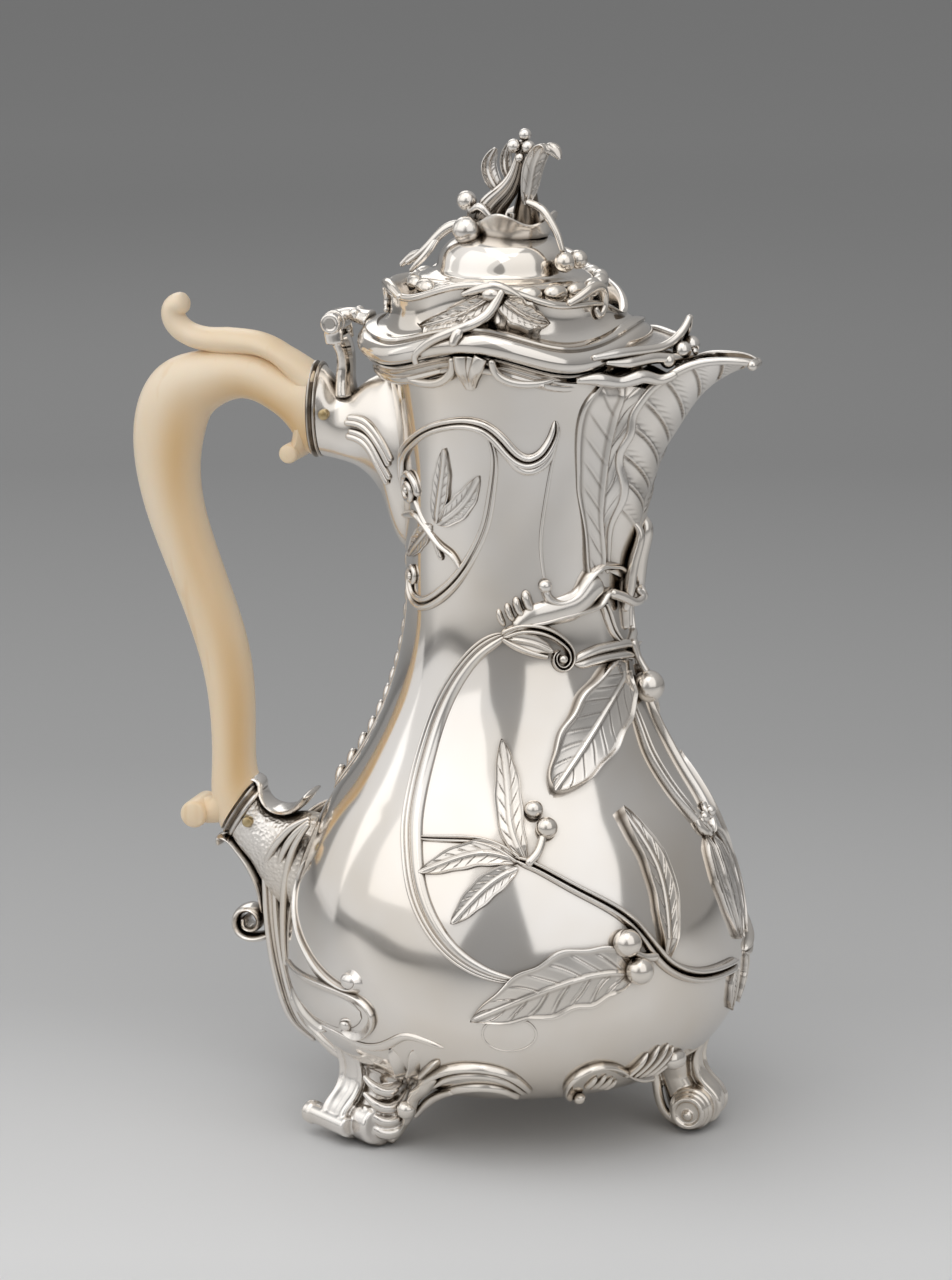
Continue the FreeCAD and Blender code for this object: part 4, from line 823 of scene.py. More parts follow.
def lid_dome():
    """A low cap on a flared foot, with a boss under the finial."""
    form = Form()
    outer = spline(DOME, 60)
    inner = np.maximum(outer - (WALL, WALL), 0.4)
    foot_radius, foot_height = DOME[-1][0], middle("lid_plate").z
    foot_ring = [(foot_radius, foot_height), (foot_radius - WALL, foot_height)]
    lathe(form, np.concatenate([outer, foot_ring, inner[::-1]]), DOME_X, sides=160)
    build(form, "lid_dome", POLISHED, "lid")


def lid_beads():
    form = Form()
    for i in range(BEAD_COUNT):
        bearing = 360 * (i + 0.5) / BEAD_COUNT
        ball(form, polar(bearing, BEAD_HEIGHT, BEAD_REACH, LID_X), BEAD_RADIUS, (1.0, 1.62, 1.05), bearing)
    build(form.moved(blunt), "lid_beads", RELIEF, "lid")


def lid_spray():
    """Two leaves and a curled stem on each side, from a knot on the gallery's lip over the ring."""
    form = Form()
    back_leaf = [(81, 247.9), (91, 243.4), (102, 239.9), (118, 236.5)]
    front_leaf = [(79.5, 246.8), (72.5, 243.4), (64.5, 240.6), (55.5, 239.2)]
    leaf(form, LID_WALL, back_leaf, 3.8, lift=1.7, rim=0.5, rib=0.6, hollow=0.7, veins=9)
    leaf(form, LID_WALL, front_leaf, 4.4, lift=1.8, rim=0.6, rib=0.6, hollow=0.9, veins=9, wavy=0.06)
    stem = [(78.5, 248.3, 36.7), (83.7, 242.9, 38.7), (88.9, 240.3, 41.5), (95, 238.4, 43.4),
            (102.3, 235.9, 44.8), (107.5, 233.1, 45.0), (110.8, 230.4, 45.0), (111.2, 228.6, 44.2)]
    lid_bar(form, stem, [1.1, 1.5, 1.5, 1.4, 1.2, 1.1, 0.9])
    lobe = [(92.5, 239.2, 42.4), (94.2, 237.4, 44.0), (95.2, 235.2, 45.0)]
    lid_bar(form, lobe, [1.0, 1.6, 1.2])
    knot = [(96.0, 247.4, 0.6), (89, 249.0, 0.6), (83, 249.8, 0.6), (77, 249.2, 0.6), (70, 247.0, 0.6)]
    bar(form, LID_WALL.path(knot), [0.9, 1.4, 1.7, 1.4, 0.9])
    ball(form, LID_WALL.at(83.0, 248.0, 1.4), 2.0, (1, 1.4, 1), 83)
    build_pair(form.moved(blunt), "lid_spray", RELIEF, "lid")


# Finial: a leaning trunk of coffee with leaves and berries, in a wavy collar
COLLAR_WAVE, COLLAR_TURN = 1.6, 93.0
FINIAL_BERRIES = [
    (1.9, 0, 287.9, 1.85), (-0.9, -1.6, 284.8, 2.1), (3.4, -1.8, 284.6, 2.0), (0.8, 2.2, 284.2, 2.1),
    (1.2, -2.6, 281.6, 1.5), (-14.4, -3.0, 269.0, 2.9), (-12.6, -9.2, 261.4, 4.1),
    (16.3, -9.6, 253.6, 3.0), (19.0, -5.4, 253.9, 2.8),
]


def collar_wave(bearing):
    return COLLAR_WAVE * np.cos(np.radians(4 * (bearing - COLLAR_TURN)))


def finial_stem():
    form = Form()
    trunk = np.array([(-8.6, -2, 262.4), (-6.8, -2, 267.2), (-3.0, -1.6, 271.6), (-0.7, -1, 275.6),
                      (0.5, -0.5, 280.4), (1.4, 0, 285)])
    thick = np.array([4.2, 3.9, 3.0, 2.2, 1.6, 1.2])
    # The trunk is painted dark: partly tarnish, partly painted shade of its cavity
    bar(form, trunk, thick, sides=20, dark=0.85)
    # Ridges round the trunk, painted darker the further they turn to the right, away from the key light:
    # painted shade
    for lean, shade in ((-75, 0.05), (-35, 0.3), (5, 0.75), (45, 0.9)):
        turn = math.radians(lean)
        outward = -math.cos(turn) * ACROSS + math.sin(turn) * np.array([0.83, 0, -0.56])
        bar(form, trunk + outward * 0.85 * thick[:, None], [0.6, 1.0, 0.8, 0.7, 0.5, 0.4], dark=shade)
    # A near-black bar behind the trunk: painted shade standing in for its shadowed hollow
    hollow = np.array([(1.6, 1.5, 261.4), (2.0, 1.5, 267), (2.2, 1.2, 273), (1.6, 0.6, 279)])
    bar(form, hollow, [4.4, 3.6, 2.4, 1.3], dark=0.95)
    bar(form, np.array([(LID_X, 0, 256.2), (LID_X, 0, 265.5)]), 1.5, rows=2, edge=0.1)
    build(form, "finial_stem", RELIEF, "lid")


def finial_wreath():
    form = Form()
    outline = [(10.4, 259.4), (11.3, 260.9), (11.8, 262.4), (12.7, 264.2), (12.9, 264.9), (12.4, 265.3),
               (11.6, 264.6), (10.6, 262.8), (9.4, 261.2), (8.8, 260.0)]
    swing = [0, 0.1, 0.5, 1, 1, 1, 0.9, 0.6, 0.2, 0]
    dark = [0.5, 0.1, 0, 0, 0, 0, 0.5, 0.9, 1, 1]
    lathe(form, outline, LID_X, collar_wave, swing, sides=96, dark=dark)
    twigs = [
        ([(-12, -6, 262.0), (-17.2, -7, 262.2), (-21, -7.6, 259.8), (-25.4, -8, 255.2), (-30.4, -8, 251.4)],
         [1.7, 1.6, 1.4, 1.2, 0.8]),
        ([(-21.5, -7.6, 259.2), (-24.2, -9.6, 254.6), (-27, -10.4, 251.4), (-28.6, -10.2, 249.6)],
         [1.0, 1.1, 1.0, 0.7]),
        ([(-26, -8, 254.6), (-29.6, -6.6, 253.2), (-32.6, -6.4, 250.6)], [0.9, 1.1, 0.8]),
        ([(-6.4, -8, 265.6), (-9.4, -7.6, 268.0), (-12.0, -6, 266.6), (-13.6, -4, 267.8)],
         [1.0, 1.2, 1.0, 0.9]),
        ([(4.4, -5, 269.4), (8.6, -6.4, 267.9), (11.4, -7.4, 264.9), (13.9, -8.4, 261.0), (15.4, -9, 257.0)],
         [1.0, 1.2, 1.1, 1.0, 0.8]),
    ]
    for route, radii in twigs:
        bar(form, np.array(route), radii)
    build(form, "finial_wreath", RELIEF, "lid")


def finial_leaves():
    form = Form()
    blade(form, [(-4.6, -1, 271), (-7.4, -1.6, 275), (-8.4, -1.6, 279.6), (-6.4, -1, 284)], 2.6,
          (-0.7, -0.7, 0))
    blade(form, [(-2.4, 1, 274), (-4.2, 1.6, 278), (-4.3, 2, 282), (-3.2, 2, 285.4)], 1.8, (-0.8, -0.6, 0))
    fold = [(2.8, -2.4, 268.4), (3.9, -2.6, 274), (4.8, -2.6, 279), (6.6, -2.6, 283.2), (9.0, -2.6, 285.2),
            (11.4, -2.8, 284.2), (12.9, -3, 281.6)]
    blade(form, fold, 3.1, (-0.85, -0.5, -0.1))
    build(form, "finial_leaves", RELIEF, "lid")


def finial_berries():
    form = Form()
    balls(form, FINIAL_BERRIES)
    build(form, "finial_berries", RELIEF, "lid")


# Spout cover on the lid
COVER_EDGE = [
    (30, -27.5, 230), (36.5, -20.5, 230.6), (42, -13.5, 230.6), (46, -8.4, 231.4), (49, -3.6, 234.6),
    (50.2, -0.6, 237.8),
]
COVER_ROLL = [(33, -24.5, 228.2), (38, -18.8, 227.7), (43, -12.6, 228.2), (47.4, -8.2, 227.6),
              (51.0, -3, 227.8)]
COVER_BERRIES = [(49.4, 5.0, 229.4, 2.7), (46.4, 9.4, 226.9, 2.2)]


def spout_cover():
    form = Form()
    rows, columns = 50, 21
    near = spline(COVER_EDGE, rows)
    far = near * (1, -1, 1)
    across = np.linspace(0, 1, columns)[None, :, None]
    sag = np.sin(across * np.pi) * np.linspace(1.5, -1.0, rows)[:, None, None]
    top = near[:, None] * (1 - across) + far[:, None] * across + sag * np.array([0.6, 0, 0.8])
    sheet(form, top, top - np.array([0.3, 0, 1.3]), np.zeros(top.shape[:2]))
    both_sides(form, COVER_EDGE, [0.9, 1.3, 1.35, 1.3, 1.2, 1.0])
    both_sides(form, COVER_ROLL, [0.7, 1.7, 1.9, 1.6, 1.2])
    build(form, "spout_cover", RELIEF, "lid")
    berries = Form()
    balls(berries, COVER_BERRIES)
    build(berries.join(berries.mirrored()), "cover_berries", RELIEF, "lid")


# Hinge
HINGE = np.array([-54.4, 0.0, 232.4])
LID_KNUCKLE, LID_KNUCKLE_HALF, FORK_KNUCKLE = 3.4, 2.9, 3.0
HINGE_HALF, FORK_GAP = 6.2, 3.4
CAST_GRAIN = 0.28


def hinge():
    fork = Form()
    cheek = [(-54.2, 232.2), (-53.9, 229.4), (-53.5, 226.9)]
    for hand in SIDES:
        drum(fork, HINGE, hand * FORK_GAP, hand * HINGE_HALF, FORK_KNUCKLE, 0.4)
        hoop(fork, HINGE + ACROSS * hand * HINGE_HALF, 2.3, 0.6, 50)
        strap(fork, cheek, [2.6, 2.9, 2.8], 1.4, y=hand * (FORK_GAP + HINGE_HALF) / 2, edge=0.6)
    strut = [(-53.3, 227.2), (-51.9, 223.6), (-51.6, 219), (-51.8, 215.6), (-51.6, 211.4)]
    strap(fork, strut, [2.6, 2.5, 2.6, 2.8, 3.2], [6.0, 5.2, 4.6, 5.0, 6.0], edge=0.8)
    build(fork, "hinge_bracket", POLISHED, remesh=CAST_GRAIN)
    tongue = Form()
    drum(tongue, HINGE, -LID_KNUCKLE_HALF, LID_KNUCKLE_HALF, LID_KNUCKLE, 0.4)
    arm = [(-54.0, 234.0), (-50.5, 234.6), (-47.5, 234.0), (-44.4, 233.4)]
    strap(tongue, arm, [1.6, 1.9, 2.2, 2.6], [2.7, 2.7, 3.6, 5.4], edge=0.6)
    for y in (-2.4, 2.4):
        ball(tongue, (-48.2, y, 235.2), 1.5)
    build(tongue, "lid_hinge_leaf", POLISHED, "lid", remesh=CAST_GRAIN)


# Handle sockets
FERRULE = [
    # inward, scale, dark
    (0.0, 0.95, 0.8), (0.25, 1.0, 0.35), (0.7, 1.0, 0.8), (1.0, 0.95, 1.0), (1.35, 0.93, 1.0),
    (1.7, 0.97, 0.9), (2.1, 1.0, 0.05), (2.5, 0.98, 0.5), (2.8, 0.92, 0.95),
]
FERRULE_DARK = np.array([shade for _, _, shade in FERRULE])[:, None]
HIGH_FACE, HIGH_TALL, HIGH_HALF = (-61.2, 206.3), 14.2, 9.4
HIGH_HORN = [
    # x, height, heading, half height, half width
    (-58.3, 205.9, 0, 13.2, 8.7), (-56, 204.5, 0, 12.2, 8.4), (-53.8, 202.7, 0, 10.8, 8.2),
    (-50.1, 201.5, 0, 10.5, 8.2), (-45.7, 202, 0, 13.2, 9), (-41.2, 200.9, 0, 16.7, 10.6),
    (-38, 198.5, 0, 20.5, 12), (-34, 194, 0, 26, 13), (-27, 194, 0, 27, 13.5),
]
HIGH_STRAPS = [
    [(-48.2, 8.6, 205), (-44.6, 9.8, 204.9), (-41.4, 10.8, 203.4), (-37.6, 12.3, 199.5),
     (-34.6, 13.2, 194.6)],
    [(-47.8, 8.6, 201), (-44.6, 9.8, 200.5), (-41.6, 10.8, 198.7), (-38.6, 12, 194.6),
     (-35.2, 13, 189.2)],
]
LOW_FACE, LOW_TALL, LOW_HALF = np.array([-85.4, 0, 85.6]), 9.8, 8.0
LOW_SLOPE = math.radians(33.0)
LOW_INWARD = np.array([math.cos(LOW_SLOPE), 0, -math.sin(LOW_SLOPE)])
LOW_UP = np.array([math.sin(LOW_SLOPE), 0, math.cos(LOW_SLOPE)])
LOW_RIDGES = [
    [(-60.6, 11.4, 86), (-66.4, 10.6, 82.4), (-72.3, 9.6, 75.4), (-75.7, 7.0, 69.6)],
    [(-60.4, 12.2, 85.2), (-64.6, 11.4, 81), (-68.8, 10.2, 74.6), (-71, 8.4, 68.6)],
    [(-60.2, 12.6, 84.4), (-63.9, 12, 79), (-67.3, 10.4, 70.6), (-69.1, 9, 60), (-69.7, 8, 48),
     (-69.4, 7.4, 40)],
]
LOW_CUP = [
    # inward, sink, half height, half width
    (3.0, 0.4, 8.8, 7.2), (7, 2.9, 7.9, 7.2), (12, 2.9, 9.3, 7.8), (18, 2, 13, 9.6), (24, 2, 15, 11),
    (31, 2, 16, 12),
]


def oval_rings(stations, sides=48):
    """Upright ovals along the pot as (x, height, heading in degrees, half height, half width)."""
    angle = np.linspace(0, 2 * np.pi, sides, endpoint=False)[:, None]
    rings = []
    for x, height, heading, tall, half in stations:
        turn = math.radians(heading)
        up = np.array([-math.sin(turn), 0, math.cos(turn)])
        rings.append(np.array([x, 0, height]) + up * tall * np.cos(angle) + ACROSS * half * np.sin(angle))
    return np.array(rings)


def upper_socket():
    x, height = HIGH_FACE
    stations = [(x + inward, height, 0, HIGH_TALL * scale, HIGH_HALF * scale) for inward, scale,
                _ in FERRULE]
    rings = oval_rings(stations + spline(HIGH_HORN, 60).tolist(), 64)
    dark = np.zeros(rings.shape[:2])
    dark[: len(FERRULE)] = FERRULE_DARK
    form = Form()
    form.loft(rings, dark)
    build(form, "upper_socket", RELIEF)
    straps = Form()
    for route in HIGH_STRAPS:
        for shift in (-0.75, 0.75):
            both_sides(straps, np.array(route) + (0.5 * shift, 0, shift), [1.0, 1.05, 1.0, 0.9])
    build(straps, "socket_straps", RELIEF)


def low_oval(inward, sink, tall, half):
    """An oval of the lower socket, square to its slope, some way in from its mouth and below its axis."""
    centre = LOW_FACE + LOW_INWARD * inward - LOW_UP * sink
    return centre[0], centre[2], math.degrees(-LOW_SLOPE), tall, half


def lower_socket():
    bands = Form()
    ovals = [low_oval(1.3 * inward, 0, LOW_TALL * scale, LOW_HALF * scale) for inward, scale, _ in FERRULE]
    rings = oval_rings(ovals)
    bands.loft(rings, np.broadcast_to(FERRULE_DARK, rings.shape[:2]))
    lip = [(-82.8, 93.4), (-80.6, 94.4), (-78.8, 93.2), (-78.6, 91.2), (-76.9, 87.4), (-72.8, 85.4),
           (-67.8, 86.4), (-63.2, 91)]
    strap(bands, lip, [1.0, 1.2, 1.1, 1.0, 1.1, 1.2, 1.2, 1.0], [4, 4, 4.4, 5, 6, 7, 8, 8])
    for route in LOW_RIDGES:
        both_sides(bands, route, [0.8, 1.2, 1.3, 1.1, 0.8])
    scroll = [(-92.0, 73.6), (-91.9, 75.4), (-89.4, 75.3), (-85.9, 72.2), (-82.4, 67.8), (-79.4, 61),
              (-78.2, 54)]
    strap(bands, scroll, [0.9, 1.1, 1.2, 1.4, 1.5, 1.4, 1.1], [3.4, 4, 4.4, 4.6, 4.4, 4, 3.4])
    build(bands, "lower_socket", RELIEF)
    cup = Form()
    cup.loft(oval_rings(spline([low_oval(*oval) for oval in LOW_CUP], 40).tolist()))
    build(cup, "lower_socket", MATTED, name="lower_socket_panel")


# Ivory handle and its rivets
GRIP = [
    # x, height, heading, half height, half width
    (-61.3, 206.3, 180, 13.7, 9.0), (-63.0, 206.6, 177, 12.6, 8.9), (-65.6, 208.2, 168, 9.2, 8.7),
    (-69.0, 210.2, 161, 7.2, 8.5), (-74.0, 213.0, 164, 7.0, 8.2), (-82.4, 215.4, 178, 7.1, 8.0),
    (-92.8, 213.8, 199, 8.5, 8.3), (-101.8, 208.8, 226, 10.6, 9.1), (-106.2, 199.0, 250, 10.8, 9.3),
    (-106.8, 186.5, 270, 9.6, 9.0), (-103.6, 170.8, 286, 8.4, 8.4), (-97.0, 152.8, 291, 7.8, 8.0),
    (-90.9, 135.4, 289, 7.6, 7.6), (-87.8, 117.4, 276, 6.9, 7.2), (-87.4, 101.0, 270, 6.5, 6.9),
    (-87.0, 92.5, 288, 7.6, 7.2), (-85.9, 85.9, 327, 9.4, 7.6),
]
THUMB = [
    # x, height, half thickness, half width
    (-61.8, 214.4, 5.0, 7.4), (-69.2, 220.3, 4.0, 7.0), (-77.4, 224.3, 3.1, 6.8), (-86.4, 224.9, 3.3, 6.6),
    (-93.4, 225.1, 3.7, 6.4), (-98.8, 226.2, 4.0, 6.0), (-102.8, 228.6, 3.5, 5.6), (-104.5, 231.8, 3.3, 5.2),
    (-104.0, 234.4, 3.3, 5.0), (-102.3, 235.3, 3.3, 5.0),
]
# Where round the grip's section its amber and painted shade are centred, and how far they spread
AMBER_AND_SHADE_TURN, AMBER_AND_SHADE_HALF = 0.33 * np.pi, 0.62
RIVET_RADIUS, RIVET_INSET = 1.55, 0.6
HIGH_CURL, LOW_CURL = np.array([-67.2, 0, 193.8]), np.array([-98.2, 0, 83.2])


def handle():
    form = Form()
    rows, sides = 170, 48
    share = np.linspace(0, 1, rows)[:, None]
    turn = np.linspace(0, 2 * np.pi, sides, endpoint=False)[None, :]
    # The grip's inner side, towards the pot, is painted amber: partly the ivory's own amber, partly painted
    # shade where less light falls, in streaks along the grip
    away = [(turn - hand * AMBER_AND_SHADE_TURN + np.pi) % (2 * np.pi) - np.pi for hand in SIDES]
    amber_and_shade_streak = 0.8 + 0.2 * np.sin(share * 17 + 0.5)
    amber_and_painted_shade = bell(np.minimum(*np.abs(away)), AMBER_AND_SHADE_HALF) * amber_and_shade_streak
    form.loft(oval_rings(spline(GRIP, rows).tolist(), sides), amber_and_painted_shade)
    thumb = np.array(THUMB)
    strap(form, thumb[:, :2], thumb[:, 2], thumb[:, 3], sides=28, edge=2.2, dark=0.12)
    drum(form, HIGH_CURL, -6.8, 6.8, 2.8, 1.2)
    tongue = [(-63.6, 207.0), (-64.0, 201.0), (-64.9, 196.6), (-66.8, 193.8)]
    strap(form, tongue, [3.6, 3.0, 2.9, 2.7], [8.6, 8.0, 7.4, 6.8], dark=0.2)
    drum(form, LOW_CURL, -6.0, 6.0, 4.1, 1.6)
    web = [(-87.6, 89.0), (-90.8, 85.2), (-94.0, 83.6), (-97.4, 83.2)]
    strap(form, web, [5.4, 5.0, 4.2, 3.8], [6.4, 6.2, 6.0, 5.8], dark=0.2)
    build(form, "handle", IVORY)


def rivets():
    for node in ("upper_handle_pin", "lower_handle_pin"):
        low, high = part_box(node)
        centre = np.array([middle(node).x - AXIS_X, 0, middle(node).z])
        form = Form()
        drum(form, centre, low.y / MM + RIVET_INSET, high.y / MM - RIVET_INSET, RIVET_RADIUS, 0.6)
        build(form, node, BRASS)


# Spout: a beak folded from one leaf, veined, with a rolled wavy rim
KEEL = [
    (33.0, 160), (33.7, 167), (35.8, 173), (37.7, 185), (40.3, 191), (42, 196.7), (45.2, 202.6),
    (48.9, 208.6), (52.6, 214.2), (58.1, 219.8), (64.5, 223.6), (69.9, 225.6),
]
SPOUT_RIM = [
    (29.6, -11.4, 166), (29.9, -11.5, 172), (30.6, -11.8, 179.5), (33.9, -12.4, 186.2), (34.9, -13, 191.8),
    (33.6, -13.6, 197.4), (34.4, -14.2, 202), (36.9, -14.3, 206.5), (37.5, -14.1, 211.2),
    (39.6, -13.8, 215.4), (42.4, -13, 219.2), (46.8, -11.4, 222.6), (53, -8.6, 225.8), (59.2, -6.2, 226.9),
    (65.9, -4, 226.8), (69.7, -1.2, 225.9),
]
SPOUT_WALL, SPOUT_VEINS, SPOUT_BULGE = 1.2, 10.5, 0.56


def spout_veins(share, reach):
    """Lift and darkness of slanting veins with barbs on one bank, fading out at the spout's edges."""
    phase = (SPOUT_VEINS * (share - 0.05 * reach) - 0.29) % 1.0 - 0.5
    barbs = bell((5 * SPOUT_VEINS * share + 4.5 * reach) % 1.0 - 0.5, 0.16) * bell(phase - 0.22, 0.16)
    lift = 0.34 * bell(phase - 0.06, 0.06) - 0.26 * bell(phase + 0.05, 0.045) - 0.10 * barbs
    dark = np.maximum(0.85 * bell(phase + 0.05, 0.055), 0.5 * barbs)
    inside = np.clip((share - 0.16) / 0.08, 0, 1) * np.clip((1 - share) / 0.06, 0, 1)
    inside = inside * np.clip((1 - reach) / 0.12, 0, 1) * np.clip((reach - 0.03) / 0.1, 0, 1)
    return lift * inside, dark * inside


def spout_shell():
    rows, columns = 260, 61
    keel = spline(flat(KEEL), rows)
    lean = np.linspace(-1, 1, columns)[None, :]
    reach = np.abs(lean)
    chord = spline(SPOUT_RIM, rows) - keel
    out = unit(np.stack([-chord[:, 1], chord[:, 0], np.zeros(rows)], -1))
    bulge = SPOUT_BULGE * np.linalg.norm(chord, axis=1)[:, None] * reach * (1 - reach)
    surface = keel[:, None] + chord[:, None] * reach[..., None] + out[:, None] * bulge[..., None]
    surface[..., 1] *= np.where(lean < 0, 1.0, -1.0)
    normal = unit(np.cross(np.gradient(surface, axis=1), np.gradient(surface, axis=0)))
    normal *= np.sign(normal[..., :1].mean())
    lift, dark = spout_veins(np.linspace(0, 1, rows)[:, None], reach)
    form = Form()
    sheet(form, surface + normal * lift[..., None], surface - normal * SPOUT_WALL, dark)
    both_sides(form, SPOUT_RIM, [0.8, 1.25, 1.35, 1.4, 1.35, 1.3, 1.3, 1.2, 1.1], rows=180)
    drum(form, np.array([69.2, 0, 225.6]), -2.8, 2.8, 1.5, 1.5)
    build(form, "spout_shell", RELIEF)


def spout_leaves():
    """A leaf on each side, from the body to the spout's rim."""
    edge = [(36.0, 166), (37.4, 170.6), (39.6, 180.2), (44.2, 190.2), (45.2, 196), (46.2, 210),
            (42.5, 217.4), (36.5, 221.4)]
    rib = [(27.4, 166, 1.0), (27.0, 170.7, 1.3), (29.8, 181.7, 1.3), (29.4, 194.4, 1.3), (27.6, 203.8, 1.3),
           (25.6, 211.1, 1.6), (24.8, 221.2, 2.0)]
    rows, columns = 230, 45
    body_edge = spline(BODY.path(edge), rows)
    midrib = spline(BODY.path(rib), rows)
    spout_edge = spline(np.array(SPOUT_RIM[:11]) - (0.4, 0, 0), rows)
    across = np.linspace(-1, 1, columns)[None, :]
    reach = np.abs(across)[..., None]
    wing = np.where(across[..., None] < 0, body_edge[:, None], spout_edge[:, None])
    points = midrib[:, None] * (1 - reach) + wing * reach
    normal = unit(np.cross(np.gradient(points, axis=1), np.gradient(points, axis=0)))
    normal *= np.sign((normal * points)[..., :2].sum(-1).mean())
    share = np.linspace(0, 1, rows)[:, None]
    lifts, dark = leaf_relief(share, across, 6.0, 0.45, 0.6, 8, 0.3)
    fold = 1.4 * bell(share - 0.93, 0.06) * (1 - across**2)
    form = Form()
    sheet(form, points + normal * (0.5 + lifts + fold)[..., None], points - normal * 0.7, dark)
    fold_line = [(26, -28.5, 223.6), (31, -25, 223.5), (36, -20.8, 222.4), (41, -16.4, 223.4),
                 (45, -13.4, 222.2), (48.6, -11.2, 223.4)]
    bar(form, np.array(fold_line), [1.2, 2.1, 1.7, 2.2, 1.7, 1.2])
    build_pair(form, "spout_leaf", RELIEF)


def root_ribbons(form):
    """A swelling under the spout's root, with a ribbon above it and one below that ends in a curl."""
    swell = [(76, 152), (66, 155.5), (58, 156.5), (50, 157.3), (42, 158.5), (34, 161.5), (27, 163)]
    band(form, BODY, swell, [2.0, 3.4, 4.0, 4.4, 4.2, 3.4], [1.4, 2.0, 2.2, 2.5, 2.5])
    ribbon = [(60.1, 163.9), (58.5, 160.9), (54.2, 159.3), (48.7, 159.3), (43, 160.8), (38.8, 163.5),
              (34.4, 166.3), (28.2, 167.9), (21, 167.5), (14, 166.4), (9, 164.4)]
    band(form, BODY, ribbon, [1.5, 1.3, 1.3, 1.3, 1.4, 1.5], [2.2, 2.2, 2.8, 3.0, 3.4])
    ball(form, BODY.at(60.4, 164.4, 1.0), 1.9)
    lower = [(81.3, 149.9), (72.8, 152.6), (62.1, 153.6), (52, 154.9), (40.5, 155.8), (28.5, 157.1),
             (23.9, 159.6), (18.8, 160.1), (12, 157.6)]
    band(form, BODY, lower, [1.0, 1.1, 1.1, 1.1, 1.2, 1.2, 1.0], [1.0, 1.6, 2.0, 2.2, 2.6, 2.6])
    curl = [(21, 159.8, 2.0), (13, 157.6, 3.4), (6, 155.8, 4.6), (1.5, 157.0, 5.4), (3, 158.8, 4.4)]
    bar(form, BODY.path(curl), [1.5, 1.5, 1.4, 1.3, 1.0])


def root_teeth(form):
    """Small hooked teeth above the start of the lower ribbon."""
    teeth = [(82, 155.4, 0.8), (77.5, 156.8, 0.9), (72.8, 158.2, 1.05), (67.8, 159.6, 1.2)]
    for bearing, height, size in teeth:
        tooth = [(bearing + 2 * size, height + 3.0 * size), (bearing + size, height),
                 (bearing - 1.6, height - 2.6)]
        band(form, BODY, tooth, 1.3 * size, 1.7 * size, ends=(0.4, 0.4), pitch=FINE_PITCH)


def root_collar(form):
    """A double collar round the front, bands that tie it to the spout and a sheath beside the keel."""
    collar = [(45, 141.4), (33, 142.6), (20, 142.6), (8, 141.8), (0, 140.6)]
    band(form, BODY, collar, [2.2, 3.0, 3.2, 3.2], [0.8, 1.5, 1.9, 2.0], DOUBLE, ends=(0.12, 0.0))
    tie = [(25.5, 157.1), (21.5, 153.3), (17.8, 148.6), (12.0, 144.6)]
    band(form, BODY, tie, [1.2, 1.8, 1.6, 1.0], 1.6, DOUBLE)
    band(form, BODY, [(9, 164), (5, 160), (3, 154), (3.4, 147)], [1.6, 2.0, 1.8, 1.2], [3.0, 2.4, 2.0, 1.6])
    band(form, BODY, [(60.1, 165.5), (62.4, 176.2), (60.7, 187.7), (58.2, 197.8), (56.2, 205)], 0.5, 0.4)
    sheath = np.array([(35.8, -5.0, 179.0), (37.4, -4.4, 176.4), (36.4, -4.6, 170.6), (35.2, -5.0, 165.4),
                       (34.6, -5.4, 160.0), (33.8, -6.0, 154.6)])
    bar(form, sheath, [0.9, 1.5, 1.7, 1.8, 1.8, 1.4], wide=[1.4, 2.2, 2.4, 2.6, 2.4, 1.8],
        facing=(-0.4, 0.9, 0))


def spout_root():
    """Scrolls and ribbons where the spout leaves the body."""
    form = Form()
    root_ribbons(form)
    root_teeth(form)
    root_collar(form)
    build_pair(form, "spout_root_scroll", RELIEF)


def spout_pendants():
    """The big leaf and the berry that hang under the spout."""
    form = Form()
    rib = [(8.5, 137.0), (27.1, 129.8), (42.1, 121.5), (53, 114), (61, 107.6)]
    leaf(form, BODY, rib, 8.8, lift=2.2, rib=0.5, rim=0.8, veins=9, hollow=0.9, tip=0.8, base=0.4,
         point=0.52, wavy=0.05)
    build_pair(form, "spout_pendant_leaf", RELIEF)
    berry = Form()
    ball(berry, BODY.at(0.0, 129.5, 3.2), 4.7, sides=32)
    bar(berry, BODY.path([(0.0, 134.0, 3.6), (0.0, 138.0, 2.4), (0.0, 142.5, 1.4)]), [1.2, 1.0, 1.4])
    build(berry, "spout_berry", RELIEF)


# Relief on the belly and the neck. All of it but the round patch is the same on both sides
PATCH_PLACE, PATCH_HALF = np.array([75.8, 43.2]), np.array([6.5, 5.3])


def volute(form, centre, start, radius, turns, thick, hand=1):
    """A small coil on the body."""
    steps = 28
    turn = np.radians(start) + hand * np.linspace(0, 2 * np.pi * turns, steps)
    shrink = np.linspace(1.0, 0.18, steps) * radius
    bearing, height = centre
    around = np.degrees(shrink * np.cos(turn) / body_radius(height))
    points = BODY.at(bearing + around, height + shrink * np.sin(turn), np.linspace(0.4, 1.2, steps))
    bar(form, points, [thick, 0.8 * thick, 0.8 * thick], rows=70)
    ball(form, BODY.at(bearing, height, 1.2), 0.9 * thick)


